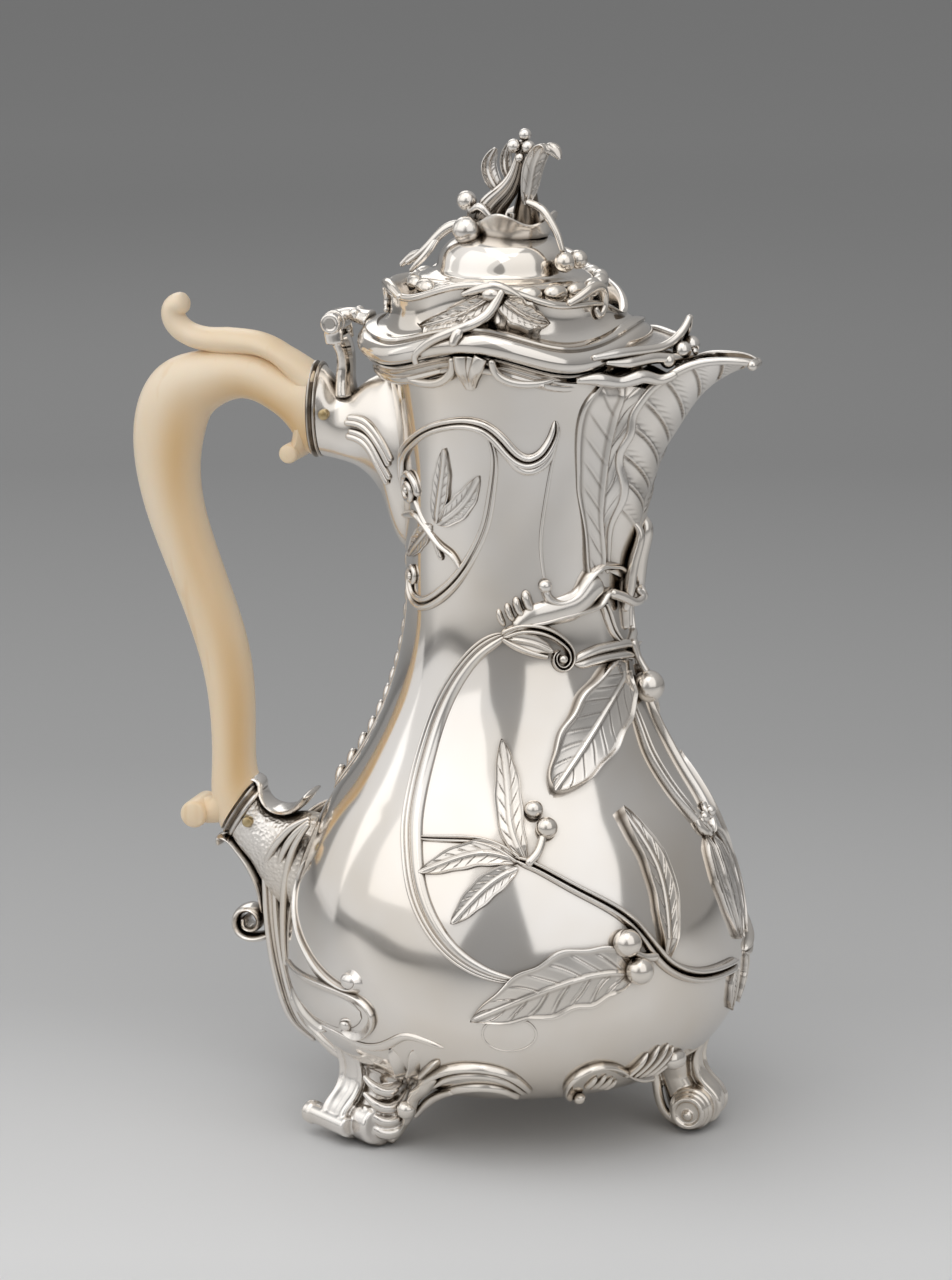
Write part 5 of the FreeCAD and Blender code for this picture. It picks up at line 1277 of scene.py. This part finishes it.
def belly_scroll():
    form = Form()
    sweep = [(80, 150.4), (92.9, 145.6), (107.1, 133.6), (112.5, 119.4), (110.9, 103.7), (105.8, 91.6),
             (100.1, 79.3), (90.6, 66.8), (80.5, 60.6), (72, 58.6)]
    widths = [2.2, 2.6, 3.2, 3.6, 3.7, 3.6, 3.3, 2.8, 2.0, 0.8]
    band(form, BODY, sweep, widths, [1.2, 1.4, 1.7, 1.8, 1.7, 1.6, 1.3, 0.9, 0.5], SCROLL)
    upper = [(82, 149.9), (75.3, 151.7), (66.7, 152.2), (57.5, 150.6), (51.2, 148.0), (47.4, 145.2),
             (47.4, 141.9), (51.2, 140.2), (55.0, 141.4), (55.4, 144.2), (52.4, 145.4)]
    band(form, BODY, upper, [1.6, 1.8, 1.8, 1.7, 1.4, 1.1, 1.0, 0.8],
         [1.4, 1.9, 2.0, 2.1, 2.0, 1.9, 1.7, 1.5], DOUBLE)
    band(form, BODY, [(82, 149.4), (75.3, 147.2), (65.4, 144.9), (58.4, 143.8)], [0.8, 1.2, 1.1, 0.9], 1.5)
    leaf(form, BODY, [(79.5, 149.2), (71, 148.6), (63, 147.2), (56.5, 145.2)], 2.5, lift=0.9, veins=0,
         rib=0.5)
    ball(form, BODY.at(51.8, 143.0, 1.2), 1.3)
    build_pair(form, "belly_scroll", RELIEF)


def neck_scroll():
    scroll = Form()
    sweep = [(152.5, 187.5), (151.5, 195.3), (138, 201.6), (122.6, 206.8), (109.4, 209.8), (96.2, 210.9),
             (86.8, 208.9), (80, 204.7), (75.4, 201.8), (69.7, 200.3), (63.6, 201.6), (59.5, 204.7),
             (57.0, 208.8), (57.1, 212)]
    widths = [2.2, 2.2, 1.8, 1.6, 1.6, 1.8, 2.2, 2.4, 2.3, 1.9, 1.5]
    band(scroll, BODY, sweep, widths, [1.6, 1.4, 1.2, 1.1, 1.2, 1.5, 1.7, 1.6, 1.4], DOUBLE)
    volute(scroll, (141, 188.4), 180, 5.2, 1.5, 1.25, hand=-1)
    echo = [(84, 206.4), (77, 200.6), (70, 197.6), (63, 198.8), (58.6, 202.0), (56.6, 206)]
    band(scroll, BODY, echo, [0.6, 1.2, 1.3, 1.2, 0.8], 1.2)
    build_pair(scroll, "neck_scroll", RELIEF)


def neck_sprig():
    sprig = Form()
    ring = [(88.2, 208.4), (85.2, 202.2), (86.5, 192.1), (89.3, 183.3), (94.2, 175.9), (104.5, 166.6),
            (117.5, 159.8), (133, 156.0), (145, 158.0), (148, 162.5)]
    band(sprig, BODY, ring, [0.7, 1.2, 1.5, 1.6, 1.8, 2.2, 2.2, 1.8], [0.6, 0.9, 1.1, 1.2, 1.4, 1.6, 1.5],
         DOUBLE)
    volute(sprig, (141.5, 163.0), 0, 3.0, 1.2, 1.0)
    twig = [(158, 179), (144, 180.8), (132.3, 180.6), (116.9, 174.4), (109.1, 172.1), (103.3, 167.6)]
    band(sprig, BODY, twig, [1.0, 1.3, 1.2, 1.0, 0.8], 1.4)
    band(sprig, BODY, [(136, 186), (128, 180), (122, 176.5), (116, 170)], [0.8, 1.0, 0.8], 1.0)
    for rib, half in (
        ([(119, 180.5), (116, 188), (112.5, 196.6), (110.5, 203)], 3.2),
        ([(117.5, 180.5), (106.4, 184.9), (98.9, 189.6), (92.6, 196)], 3.2),
        ([(122.2, 179.8), (133.3, 174.4), (147.7, 168.4)], 3.0),
    ):
        leaf(sprig, BODY, rib, half, lift=0.6, rim=0.25, rib=0.25, hollow=0.15)
    build_pair(sprig, "neck_sprig", RELIEF)


def coffee_branch():
    branch = Form()
    twig = [(104.3, 94.9), (94.5, 95.6), (85.1, 95.6), (77.5, 93.4), (73.2, 90.7)]
    band(branch, BODY, twig, [0.9, 1.3, 1.4, 1.5], [1.0, 1.3, 1.5], DOUBLE)
    stem = [(75, 91.6), (70, 89.8), (66.2, 88.0), (57, 82.6), (45.5, 74.5), (39.2, 65.8), (34.2, 59.1),
            (25.1, 54), (14, 52.2), (4.6, 51.6)]
    widths = [1.5, 1.6, 1.7, 1.9, 2.2, 2.3, 2.4, 2.4]
    band(branch, BODY, stem, widths, [1.8, 1.9, 2.0, 2.2, 2.4, 2.5, 2.6, 2.6], DOUBLE)
    high_stalk = [(70.5, 90.4, 1.2), (68, 93, 1.2), (66.4, 96.4, 1.2)]
    low_stalk = [(39, 62.6, 1.4), (42.4, 63.2, 1.4), (45, 65.4, 1.4)]
    for stalk in (high_stalk, low_stalk):
        bar(branch, BODY.path(stalk), [1.3, 1.2, 1.1])
    build_pair(branch, "coffee_branch", RELIEF)


def branch_leaves():
    leaves = Form()
    upright = [(71.6, 90.7), (75.6, 98.6), (77.3, 108.5), (80.2, 121.5)]
    leaf(leaves, BODY, upright, 3.9, lift=1.3, tip=0.6, rim=0.4, hollow=0.4)
    leaf(leaves, BODY, [(73.2, 90.7), (81.8, 92.6), (90.5, 91.1), (101.5, 86.2)], 3.8, lift=1.0)
    leaf(leaves, BODY, [(73.7, 89.2), (81.3, 84.7), (90.6, 73.8)], 3.5, lift=1.0)
    broad = [(44.5, 58.8), (53.6, 59.8), (63.6, 57.6), (73.2, 53.6), (85.0, 47.4)]
    leaf(leaves, BODY, broad, 8.6, lift=1.1, wavy=0.08, rim=0.4, base=0.5, point=0.85)
    curved = [(34.2, 61), (32.6, 75), (32.5, 86), (35, 94), (39.0, 101.5)]
    leaf(leaves, BODY, curved, 4.2, lift=1.6, rim=0.6, hollow=0.7, tip=1.2)
    build_pair(leaves, "branch_leaves", RELIEF)


def round_patch():
    """The faint outline of a mend, low on the near side."""
    form = Form()
    turn = np.radians(np.linspace(0, 360, 25))
    outline = PATCH_PLACE + PATCH_HALF * np.stack([np.cos(turn), np.sin(turn)], -1)
    band(form, BODY, outline, 0.35, 0.25, ends=(0.0, 0.0), pitch=0.4)
    build(form, "body_shell", RELIEF, name="round_patch")


def branch_berries():
    berries = Form()
    places = [(65.0, 98.6, 3.1), (68.6, 103.2, 2.7), (46.6, 67.6, 4.1), (43.8, 59.6, 4.0)]
    for bearing, height, radius in places:
        ball(berries, BODY.at(bearing, height, 0.5 * radius), radius, sides=32)
    build_pair(berries, "branch_berries", RELIEF)


def front_relief():
    scrolls = Form()
    sweep = [(13.5, 128.5), (12, 121.6), (12.4, 113.4), (10.8, 105.5), (9.0, 99.4), (6.4, 93.6), (3.4, 89.4),
             (1.6, 87.6)]
    band(scrolls, BODY, sweep, [1.2, 1.6, 1.9, 2.0, 2.0, 1.9, 1.5], [1.5, 2.0, 2.2, 2.2, 2.2, 2.0], DOUBLE)
    volute(scrolls, (4.4, 92.6), -90, 3.2, 1.2, 1.3)
    ball(scrolls, BODY.at(3.6, 92.8, 1.8), 1.7)
    build(scrolls.join(scrolls.mirrored()), "front_scrolls", RELIEF)
    side = Form()
    leaf(side, BODY, [(5.0, 89), (7.6, 80), (6.6, 70), (3.0, 58)], 3.4, lift=1.2, rim=0.5, hollow=0.5)
    leaf(side, BODY, [(4.6, 51.8), (6.4, 47), (5.6, 42), (3.6, 37)], 2.8, lift=1.0, rim=0.4)
    leaves = side.join(side.mirrored())
    leaf(leaves, BODY, [(0, 87.5), (0, 79), (0, 69), (0, 57.5)], 4.4, lift=1.1, rim=0.4)
    build(leaves, "front_leaf", RELIEF)


def rear_relief():
    form = Form()
    first = [(154.4, 78), (155.3, 68.9), (147.0, 60), (139.4, 55.6), (131.7, 52), (123.8, 49.9),
             (117.4, 50.3), (115.4, 53.4), (118.0, 55.6), (120.0, 54.4)]
    band(form, BODY, first, [1.0, 1.5, 1.8, 2.0, 2.1, 2.0, 1.6, 1.2, 0.9],
         [0.9, 1.2, 1.4, 1.6, 1.9, 2.0, 1.8], SWELL)
    ball(form, BODY.at(118.4, 53.2, 0.6), 2.5, (0.9, 1.2, 1.0), 118.4)
    panel = [(160, 45), (148, 42.6), (136, 41.8), (124, 42.6), (115.5, 43.6)]
    band(form, BODY, panel, [5.0, 6.0, 6.4, 6.2, 5.0], [0.6, 0.8, 0.9, 0.8], ends=(0.1, 0.2))
    second = [(157, 47), (144.2, 47.4), (130.2, 48.4), (120.7, 48.4), (114.2, 47), (112, 43.4),
              (114.8, 38.6), (119.6, 36.4), (122.8, 38), (121.4, 40.4), (118.8, 41)]
    band(form, BODY, second, [1.2, 1.5, 1.6, 1.6, 1.6, 1.5, 1.3, 1.0], [1.4, 1.6, 1.7, 1.9, 1.9, 1.8, 1.6],
         SWELL)
    ball(form, BODY.at(121.4, 39.2, 0.4), 1.8)
    band(form, BODY, [(158, 38), (150, 35.4), (142, 33.6), (134, 33.6)], [1.4, 2.0, 2.0, 1.4],
         [1.8, 2.2, 2.0])
    low = [(145, 33), (129.8, 34.2), (121.1, 33.2), (114.9, 33.4), (108.5, 36), (102.7, 39.8), (98.2, 39.7),
           (92.3, 37.9)]
    band(form, BODY, low, [0.8, 0.9, 1.1, 1.4, 1.6, 1.3, 0.8], [0.7, 0.8, 0.9, 1.1, 1.0])
    for comma in ([(162, 36), (160, 32.4), (162.5, 29.4)], [(156, 24), (153, 20.4), (155, 17.6)]):
        band(form, BODY, comma, [3.0, 2.4, 1.2], [4.2, 3.4, 1.6], ends=(0.4, 0.2), pitch=SHORT_PITCH)
    build_pair(form, "rear_scroll", RELIEF)


# Back of the pot
SPINE_LOW, SPINE_PITCH, SPINE_COUNT = 96.0, 5.2, 15
LOW_STRAP = [
    # x, height, half thickness, half width
    (-73.6, 72.5, 2.4, 5.6), (-74.8, 67.0, 3.0, 5.4), (-74.9, 61.0, 2.7, 5.0), (-74.7, 54.0, 2.5, 4.8),
    (-74.0, 46.0, 2.3, 4.8), (-72.6, 38.0, 2.3, 5.0), (-70.0, 28.6, 2.4, 5.4), (-66.4, 21.0, 2.2, 5.2),
    (-60.6, 15.8, 1.4, 4.0),
]
LOW_VOLUTE = [
    (-74.6, 47.6), (-77.4, 46.2), (-80.4, 45.2), (-83.6, 45.4), (-86.2, 47.4), (-86.8, 50.4), (-85.4, 53.2),
    (-82.4, 54.2), (-79.8, 52.6), (-79.4, 49.8), (-81.4, 48.0), (-83.8, 48.8), (-84.0, 51.0),
]


def back_spine():
    spine = Form()
    for i in range(SPINE_COUNT):
        centre = BODY.at(180, SPINE_LOW + i * SPINE_PITCH, 0.3)
        ball(spine, centre, 2.5 - 0.4 * i / SPINE_COUNT, (0.8, 1.3, 1.7), 180, sides=20)
    edge = [(4.5, 94), (4.8, 110), (5.4, 130), (5.6, 150), (5, 168)]
    for hand in SIDES:
        band(spine, BODY, [(180 - hand * away, height) for away, height in edge], [1.3, 1.1, 1.0], 0.9)
    build(spine, "back_spine", RELIEF)


def lower_strap():
    form = Form()
    x, height, half_thick, half_wide = np.transpose(LOW_STRAP)
    strap(form, np.stack([x, height], -1), half_thick, half_wide, edge=1.0)
    for shift in (-1.6, 1.4):
        both_sides(form, np.stack([x + shift, half_wide - 0.6, height], -1), [0.9, 1.0, 1.0, 1.0, 0.8])
    strap(form, LOW_VOLUTE, [1.2, 1.4, 1.4, 1.2, 1.0, 0.9], [3.6, 4.2, 4.4, 4.6, 4.8], edge=0.6)
    build(form, "lower_strap", RELIEF)


# Feet and the aprons between them
FOOT_BEARING = 126.0
FRONT_FOOT_GRAIN, SIDE_FOOT_GRAIN = 0.3, 0.35
ROLL = np.array([55.0, 0.0, 6.6])
PEG_AWAY = np.array([6.6, 0, -0.6])
ROLL_RADIUS = 5.8
LEG = [
    # inner reach, outer reach, half width, height
    (36, 57.4, 14.0, 31), (38, 56.0, 11.6, 26.5), (41.4, 54.2, 9.2, 21), (44.0, 54.6, 7.6, 15.5),
    (45.4, 57.6, 7.2, 10.5), (46.4, 59.2, 6.6, 6.0), (48.4, 58.4, 6.4, 2.2), (50.4, 57.0, 6.0, 0.4),
]
FOOT_STRAP = [(58.0, 30), (55.2, 24), (54.6, 18.6), (56.6, 14), (60.0, 10.4), (61.2, 6.6), (58.8, 2.8),
              (54.2, 1.6)]
FOOT_BACK = [(42.4, 21.5), (44.0, 15), (44.8, 10), (46.6, 5), (50.6, 1.5)]
FLUTES = [18.6, 13.6, 9.4, 5.8]


def leg():
    """The plain leg of a foot at the spout's bearing, squarish in section."""
    form = Form()
    sides = 32
    angle = np.linspace(0, 2 * np.pi, sides, endpoint=False)
    square = np.abs(np.cos(angle)) ** 0.7 * np.sign(np.cos(angle))
    rings = []
    for inner, outer, half, height in LEG:
        reach = (inner + outer) / 2 + (outer - inner) / 2 * square
        rings.append(np.stack([reach, half * np.sin(angle), np.full(sides, height)], -1))
    form.loft(np.array(rings))
    return form


def foot_strap(form, shift):
    half_thick = [1.4, 1.6, 1.7, 1.8, 1.8, 1.8, 1.5, 1.3]
    half_wide = [5.2, 4.6, 4.4, 4.6, 5.0, 5.0, 4.8, 4.4]
    strap(form, FOOT_STRAP, half_thick, half_wide, y=shift, edge=0.8)
    for hand in SIDES:
        edge = [(x + 1.0, shift + hand * (4.2 + 0.03 * (height - 12)), height) for x, height in FOOT_STRAP]
        bar(form, edge, [0.9, 1.0, 1.1, 1.1, 1.2, 1.2, 1.0], sides=10)


def ringed_eye(form, hand, near, far):
    """The end of a foot's roll: a tapering drum, a ring standing round a hollow and a button in it."""
    for start, end, radius in ((near, far - 3.2, 6.4), (near, far - 1.6, 5.6), (near, far, 4.9)):
        drum(form, ROLL, hand * start, hand * end, radius, 0.5)
    hoop(form, ROLL + ACROSS * hand * (far + 0.4), 4.2, 0.85, 60)
    ball(form, ROLL + ACROSS * hand * (far + 0.2) - UP * 0.7, 1.7)


def fluted_side(form, hand):
    """Crescent flutes between the strap and the back edge."""
    for height in FLUTES:
        crescent = [(57.6, hand * 3.0, height + 2.4), (55.4, hand * 6.4, height - 0.6),
                    (51.4, hand * 8.2, height - 1.2), (46.6, hand * 7.8, height + 2.6)]
        bar(form, np.array(crescent), [0.8, 1.7, 2.0, 1.0])


def above_floor(points):
    points[:, 2] = np.maximum(points[:, 2], 0.0)
    return points


def foot(fluted):
    """A scroll foot at the spout's bearing. A side foot has flutes on one hand and a drum on the other."""
    form = leg()
    foot_strap(form, -6.4 * fluted)
    for hand in SIDES:
        bar(form, flat(FOOT_BACK, hand * 6.2), [1.3, 1.5, 1.5, 1.4, 1.2])
        if hand == fluted:
            fluted_side(form, hand)
            drum(form, ROLL, 0, hand * 5.2, ROLL_RADIUS, 1.2)
        elif fluted:
            drum(form, ROLL, 0, hand * 11.6, ROLL_RADIUS, 1.2)
            drum(form, ROLL + PEG_AWAY, 0, hand * 17.2, 3.0, 0.6)
            drum(form, ROLL + PEG_AWAY, hand * 16.4, hand * 18.2, 3.5, 0.5)
        else:
            ringed_eye(form, hand, 0.0, 11.2)
    return form.moved(above_floor)


def feet():
    build(foot(0), "foot_front", RELIEF, remesh=FRONT_FOOT_GRAIN, smooth=2)
    for node, hand in (("foot_right", 1), ("foot_left", -1)):
        build(foot(hand).changed(turning(hand * FOOT_BEARING)), node, RELIEF, remesh=SIDE_FOOT_GRAIN,
              smooth=2)


def folds(form, pairs, bow, half_width, tall, section, ends):
    """Short bands on the body, each between two places, with its middle moved by a bow."""
    for start, end in np.array(pairs):
        band(form, BODY, [start, (start + end) / 2 + bow, end], half_width, tall, section, ends, FINE_PITCH)


def apron_arch(form):
    """An arch between two feet, with limbs and tufts where it meets the side foot."""
    arc = [(105, 20.6), (96.5, 27), (89, 30.6), (81, 30.8), (75.5, 28), (70.4, 22.0)]
    band(form, BODY, arc, [2.2, 2.8, 3.0, 2.8, 2.0], [2.4, 2.8, 2.6, 2.2, 1.4], DOUBLE)
    inner_arc = [(101, 18.4), (94, 21.6), (86, 24.4), (79, 24.0), (73, 20.2)]
    band(form, BODY, inner_arc, [1.2, 1.8, 1.6, 1.0], [1.6, 2.0, 1.6])
    ball(form, polar(110.0, 13.2, 53.6), 2.8)
    limb = [*BODY.path([(97, 27.4, 1.6), (103, 22.4, 2.0)]), polar(107.2, 17.4, 53.4),
            polar(110.2, 12.2, 51.8), polar(113, 8.2, 50.6)]
    bar(form, limb, [1.2, 1.9, 2.0, 1.8, 1.2])
    inner_limb = [BODY.at(94, 22.0, 1.0), polar(100.4, 18.2, 51.4), polar(106, 14.2, 50.2),
                  polar(109.4, 10.8, 50.0)]
    bar(form, inner_limb, [1.1, 1.5, 1.4, 1.0])
    tufts = [
        [(110, 24), (107, 29), (108, 34.5)],
        [(106, 25), (102, 30), (101, 35.5)],
        [(102, 25.5), (97, 30), (94, 33.5)],
    ]
    for tuft in tufts:
        band(form, BODY, tuft, 1.9, 2.4, SWELL, ends=(0.3, 0.4), pitch=SHORT_PITCH)


def apron_curl(form):
    """A curl that runs towards the front foot, with folds inside it and feathers on its tail."""
    curl = [(54.6, 19.2), (58.3, 22.3), (58.6, 26.4), (56.2, 29.6), (52.0, 31.0), (47, 29.6), (42.2, 26.4),
            (34.6, 22.6), (25.6, 21.0)]
    band(form, BODY, curl, [1.4, 1.6, 1.7, 1.7, 1.6, 1.5, 1.4, 1.2], [2.4, 2.6, 2.4, 2.2, 2.0, 2.0, 2.0],
         SWELL)
    ball(form, BODY.at(53.6, 19.6, 1.4), 1.8)
    inner = [((53.5, 22.8), (51.5, 27.2)), ((51.2, 22), (48.8, 27.4)), ((48.8, 21.6), (46.2, 26)),
             ((46.4, 21), (44, 24.4))]
    folds(form, inner, (0, -0.4), 1.0, 1.5, ROUND, (0.4, 0.4))
    feathers = [((42.5, 25.6), (38.0, 33.2)), ((39.8, 24.6), (34.8, 34.8)), ((37, 24.0), (31.6, 34.6)),
                ((34.2, 23.6), (29, 33)), ((31.4, 23.4), (27.4, 30.6))]
    folds(form, feathers, (-0.8, 0), 1.4, 2.2, SWELL, (0.3, 0.4))
    ball(form, BODY.at(26.0, 28.4, 1.0), 3.0, (0.9, 1.3, 1.0), 26)


def apron():
    form = Form()
    apron_arch(form)
    apron_curl(form)
    build_pair(form, "apron", RELIEF)


def rear_apron():
    form = Form()
    arc = [(141, 21), (150, 26.4), (160, 29.4), (170, 29.8), (180, 26.5)]
    band(form, BODY, arc, [2.0, 2.6, 2.8, 2.4, 2.0], [2.2, 2.6, 2.4, 2.0], DOUBLE, ends=(0.06, 0.0))
    band(form, BODY, [(146, 18.6), (154, 22.4), (164, 24.6), (174, 22.6)], [1.2, 1.8, 1.6, 1.0], 1.8)
    build(form.join(form.mirrored()), "rear_apron", RELIEF)


def plain_pieces():
    """CAD pieces that show as they are."""
    for node in ("base_plate", "lid_plate", "lid_bezel", "finial_nut", "hinge_pin"):
        shown = frame["nodes"][node]
        shown.data.materials.clear()
        shown.data.materials.append(POLISHED)


# Floor, light and camera
VIEW_BEARING = math.radians(16.0)
VIEW_TURN = math.radians(16.53)
VIEW_PITCH = math.radians(13.02)
VIEW_DISTANCE, VIEW_HEIGHT = 1.300, 0.442
FLOOR_NEAR, FLOOR_FAR = -1.2, 2.4
FLOOR_RADIUS, FLOOR_DROP = 6.0, 0.2 * MM
FLOOR_PAINTED_LIGHT = [
    # metres behind the pot, grey. The greys are painted light: brightest just in front of the pot, darker
    # beyond it as the light falls off
    (-1.2, 0.34), (-0.6, 0.55), (-0.13, 0.74), (0.0, 0.63), (0.1, 0.52), (0.4, 0.39), (1.0, 0.29),
    (2.4, 0.37),
]
SKY_TONES = [(0.0, 0.28), (0.3, 0.32), (0.6, 0.40), (1.0, 0.50)]
LENS, SENSOR = 129.63, 36.0
SOFTBOXES = [
    # name, bearing, elevation, distance, size, radiance
    ("key", -50, 42, 1.5, (3.0, 2.6), 0.46),
    ("key_core", -42, 40, 1.45, (1.5, 1.5), 0.34),
    ("fill", 46, 38, 1.6, (1.6, 2.1), 0.60),
    ("top", 10, 84, 1.4, (0.9, 0.9), 0.7),
    ("rim", -150, 35, 1.6, (0.8, 1.0), 1.0),
    ("side", -100, 12, 1.6, (0.7, 1.0), 0.45),
]
AIM = Vector((AXIS_X * MM, 0, 0.14))


def floor():
    finish = Finish("floor")
    mapping = finish.node("ShaderNodeMapping", [("Vector", finish.place)], {"Rotation": (0, 0, -VIEW_TURN)})
    split = finish.node("ShaderNodeSeparateXYZ", [("Vector", mapping.outputs["Vector"])])
    ends = {"From Min": FLOOR_NEAR, "From Max": FLOOR_FAR}
    spread = finish.node("ShaderNodeMapRange", [("Value", split.outputs["Y"])], ends)
    # The floor's grey is painted light that changes with distance behind the pot, not a colour of its own
    stops = [((away - FLOOR_NEAR) / (FLOOR_FAR - FLOOR_NEAR), grey) for away, grey in FLOOR_PAINTED_LIGHT]
    finish.feed("Base Color", finish.ramp(spread.outputs["Result"], *stops))
    finish.feed("Roughness", finish.range(finish.noise(8.0), 0.85, 0.95))
    set_inputs(finish.shader, {"Specular IOR Level": 0.1})
    bpy.ops.mesh.primitive_circle_add(
        vertices=96, radius=FLOOR_RADIUS, fill_type="NGON", location=(0, 0, -FLOOR_DROP)
    )
    ground = bpy.context.object
    ground.name = "floor"
    ground.data.materials.append(finish.material)


def softbox(name, bearing, elevation, distance, size, radiance):
    """A rectangular lamp aimed at the middle of the pot. Bearing 0 is in front, 90 to the right."""
    data = bpy.data.lights.new(name, "AREA")
    data.shape = "RECTANGLE"
    data.size, data.size_y = size
    data.energy = math.pi * size[0] * size[1] * radiance
    lamp = bpy.data.objects.new(name, data)
    bpy.context.scene.collection.objects.link(lamp)
    turn, rise = math.radians(bearing), math.radians(elevation)
    away = Vector((math.sin(turn) * math.cos(rise), -math.cos(turn) * math.cos(rise), math.sin(rise)))
    lamp.location = AIM + distance * away
    lamp.rotation_euler = (-away).to_track_quat("-Z", "Y").to_euler()


def world():
    scene = bpy.context.scene
    scene.world = bpy.data.worlds.new("studio")
    scene.world.use_nodes = True
    tree = scene.world.node_tree
    place = tree.nodes.new("ShaderNodeTexCoord")
    split = tree.nodes.new("ShaderNodeSeparateXYZ")
    ramp = tree.nodes.new("ShaderNodeValToRGB")
    tree.links.new(place.outputs["Generated"], split.inputs["Vector"])
    tree.links.new(split.outputs["Z"], ramp.inputs["Fac"])
    tree.links.new(ramp.outputs["Color"], tree.nodes["Background"].inputs["Color"])
    set_stops(ramp.color_ramp, SKY_TONES)


def camera():
    data = bpy.data.cameras.new("camera")
    data.lens = LENS
    data.sensor_width = SENSOR
    eye = bpy.data.objects.new("camera", data)
    bpy.context.scene.collection.objects.link(eye)
    across, back = math.sin(VIEW_BEARING) * VIEW_DISTANCE, math.cos(VIEW_BEARING) * VIEW_DISTANCE
    eye.location = (across + AXIS_X * MM, -back, VIEW_HEIGHT)
    level = math.cos(VIEW_PITCH)
    ahead = Vector((-math.sin(VIEW_TURN) * level, math.cos(VIEW_TURN) * level, -math.sin(VIEW_PITCH)))
    eye.rotation_euler = ahead.to_track_quat("-Z", "Y").to_euler()
    bpy.context.scene.camera = eye


for make in (
    body_shell, mouth_moulding, rim_clasps, lid_rim, lid_gallery, lid_dome, lid_beads, lid_spray,
    finial_stem, finial_wreath, finial_leaves, finial_berries, spout_cover, hinge, upper_socket,
    lower_socket, handle, rivets, spout_shell, spout_leaves, spout_root, spout_pendants, belly_scroll,
    neck_scroll, neck_sprig, coffee_branch, branch_leaves, round_patch, branch_berries, front_relief,
    rear_relief, back_spine, lower_strap, feet, apron, rear_apron, plain_pieces, floor, world, camera,
):
    make()
for lamp in SOFTBOXES:
    softbox(*lamp)
bpy.context.scene.view_settings.view_transform = "Standard"
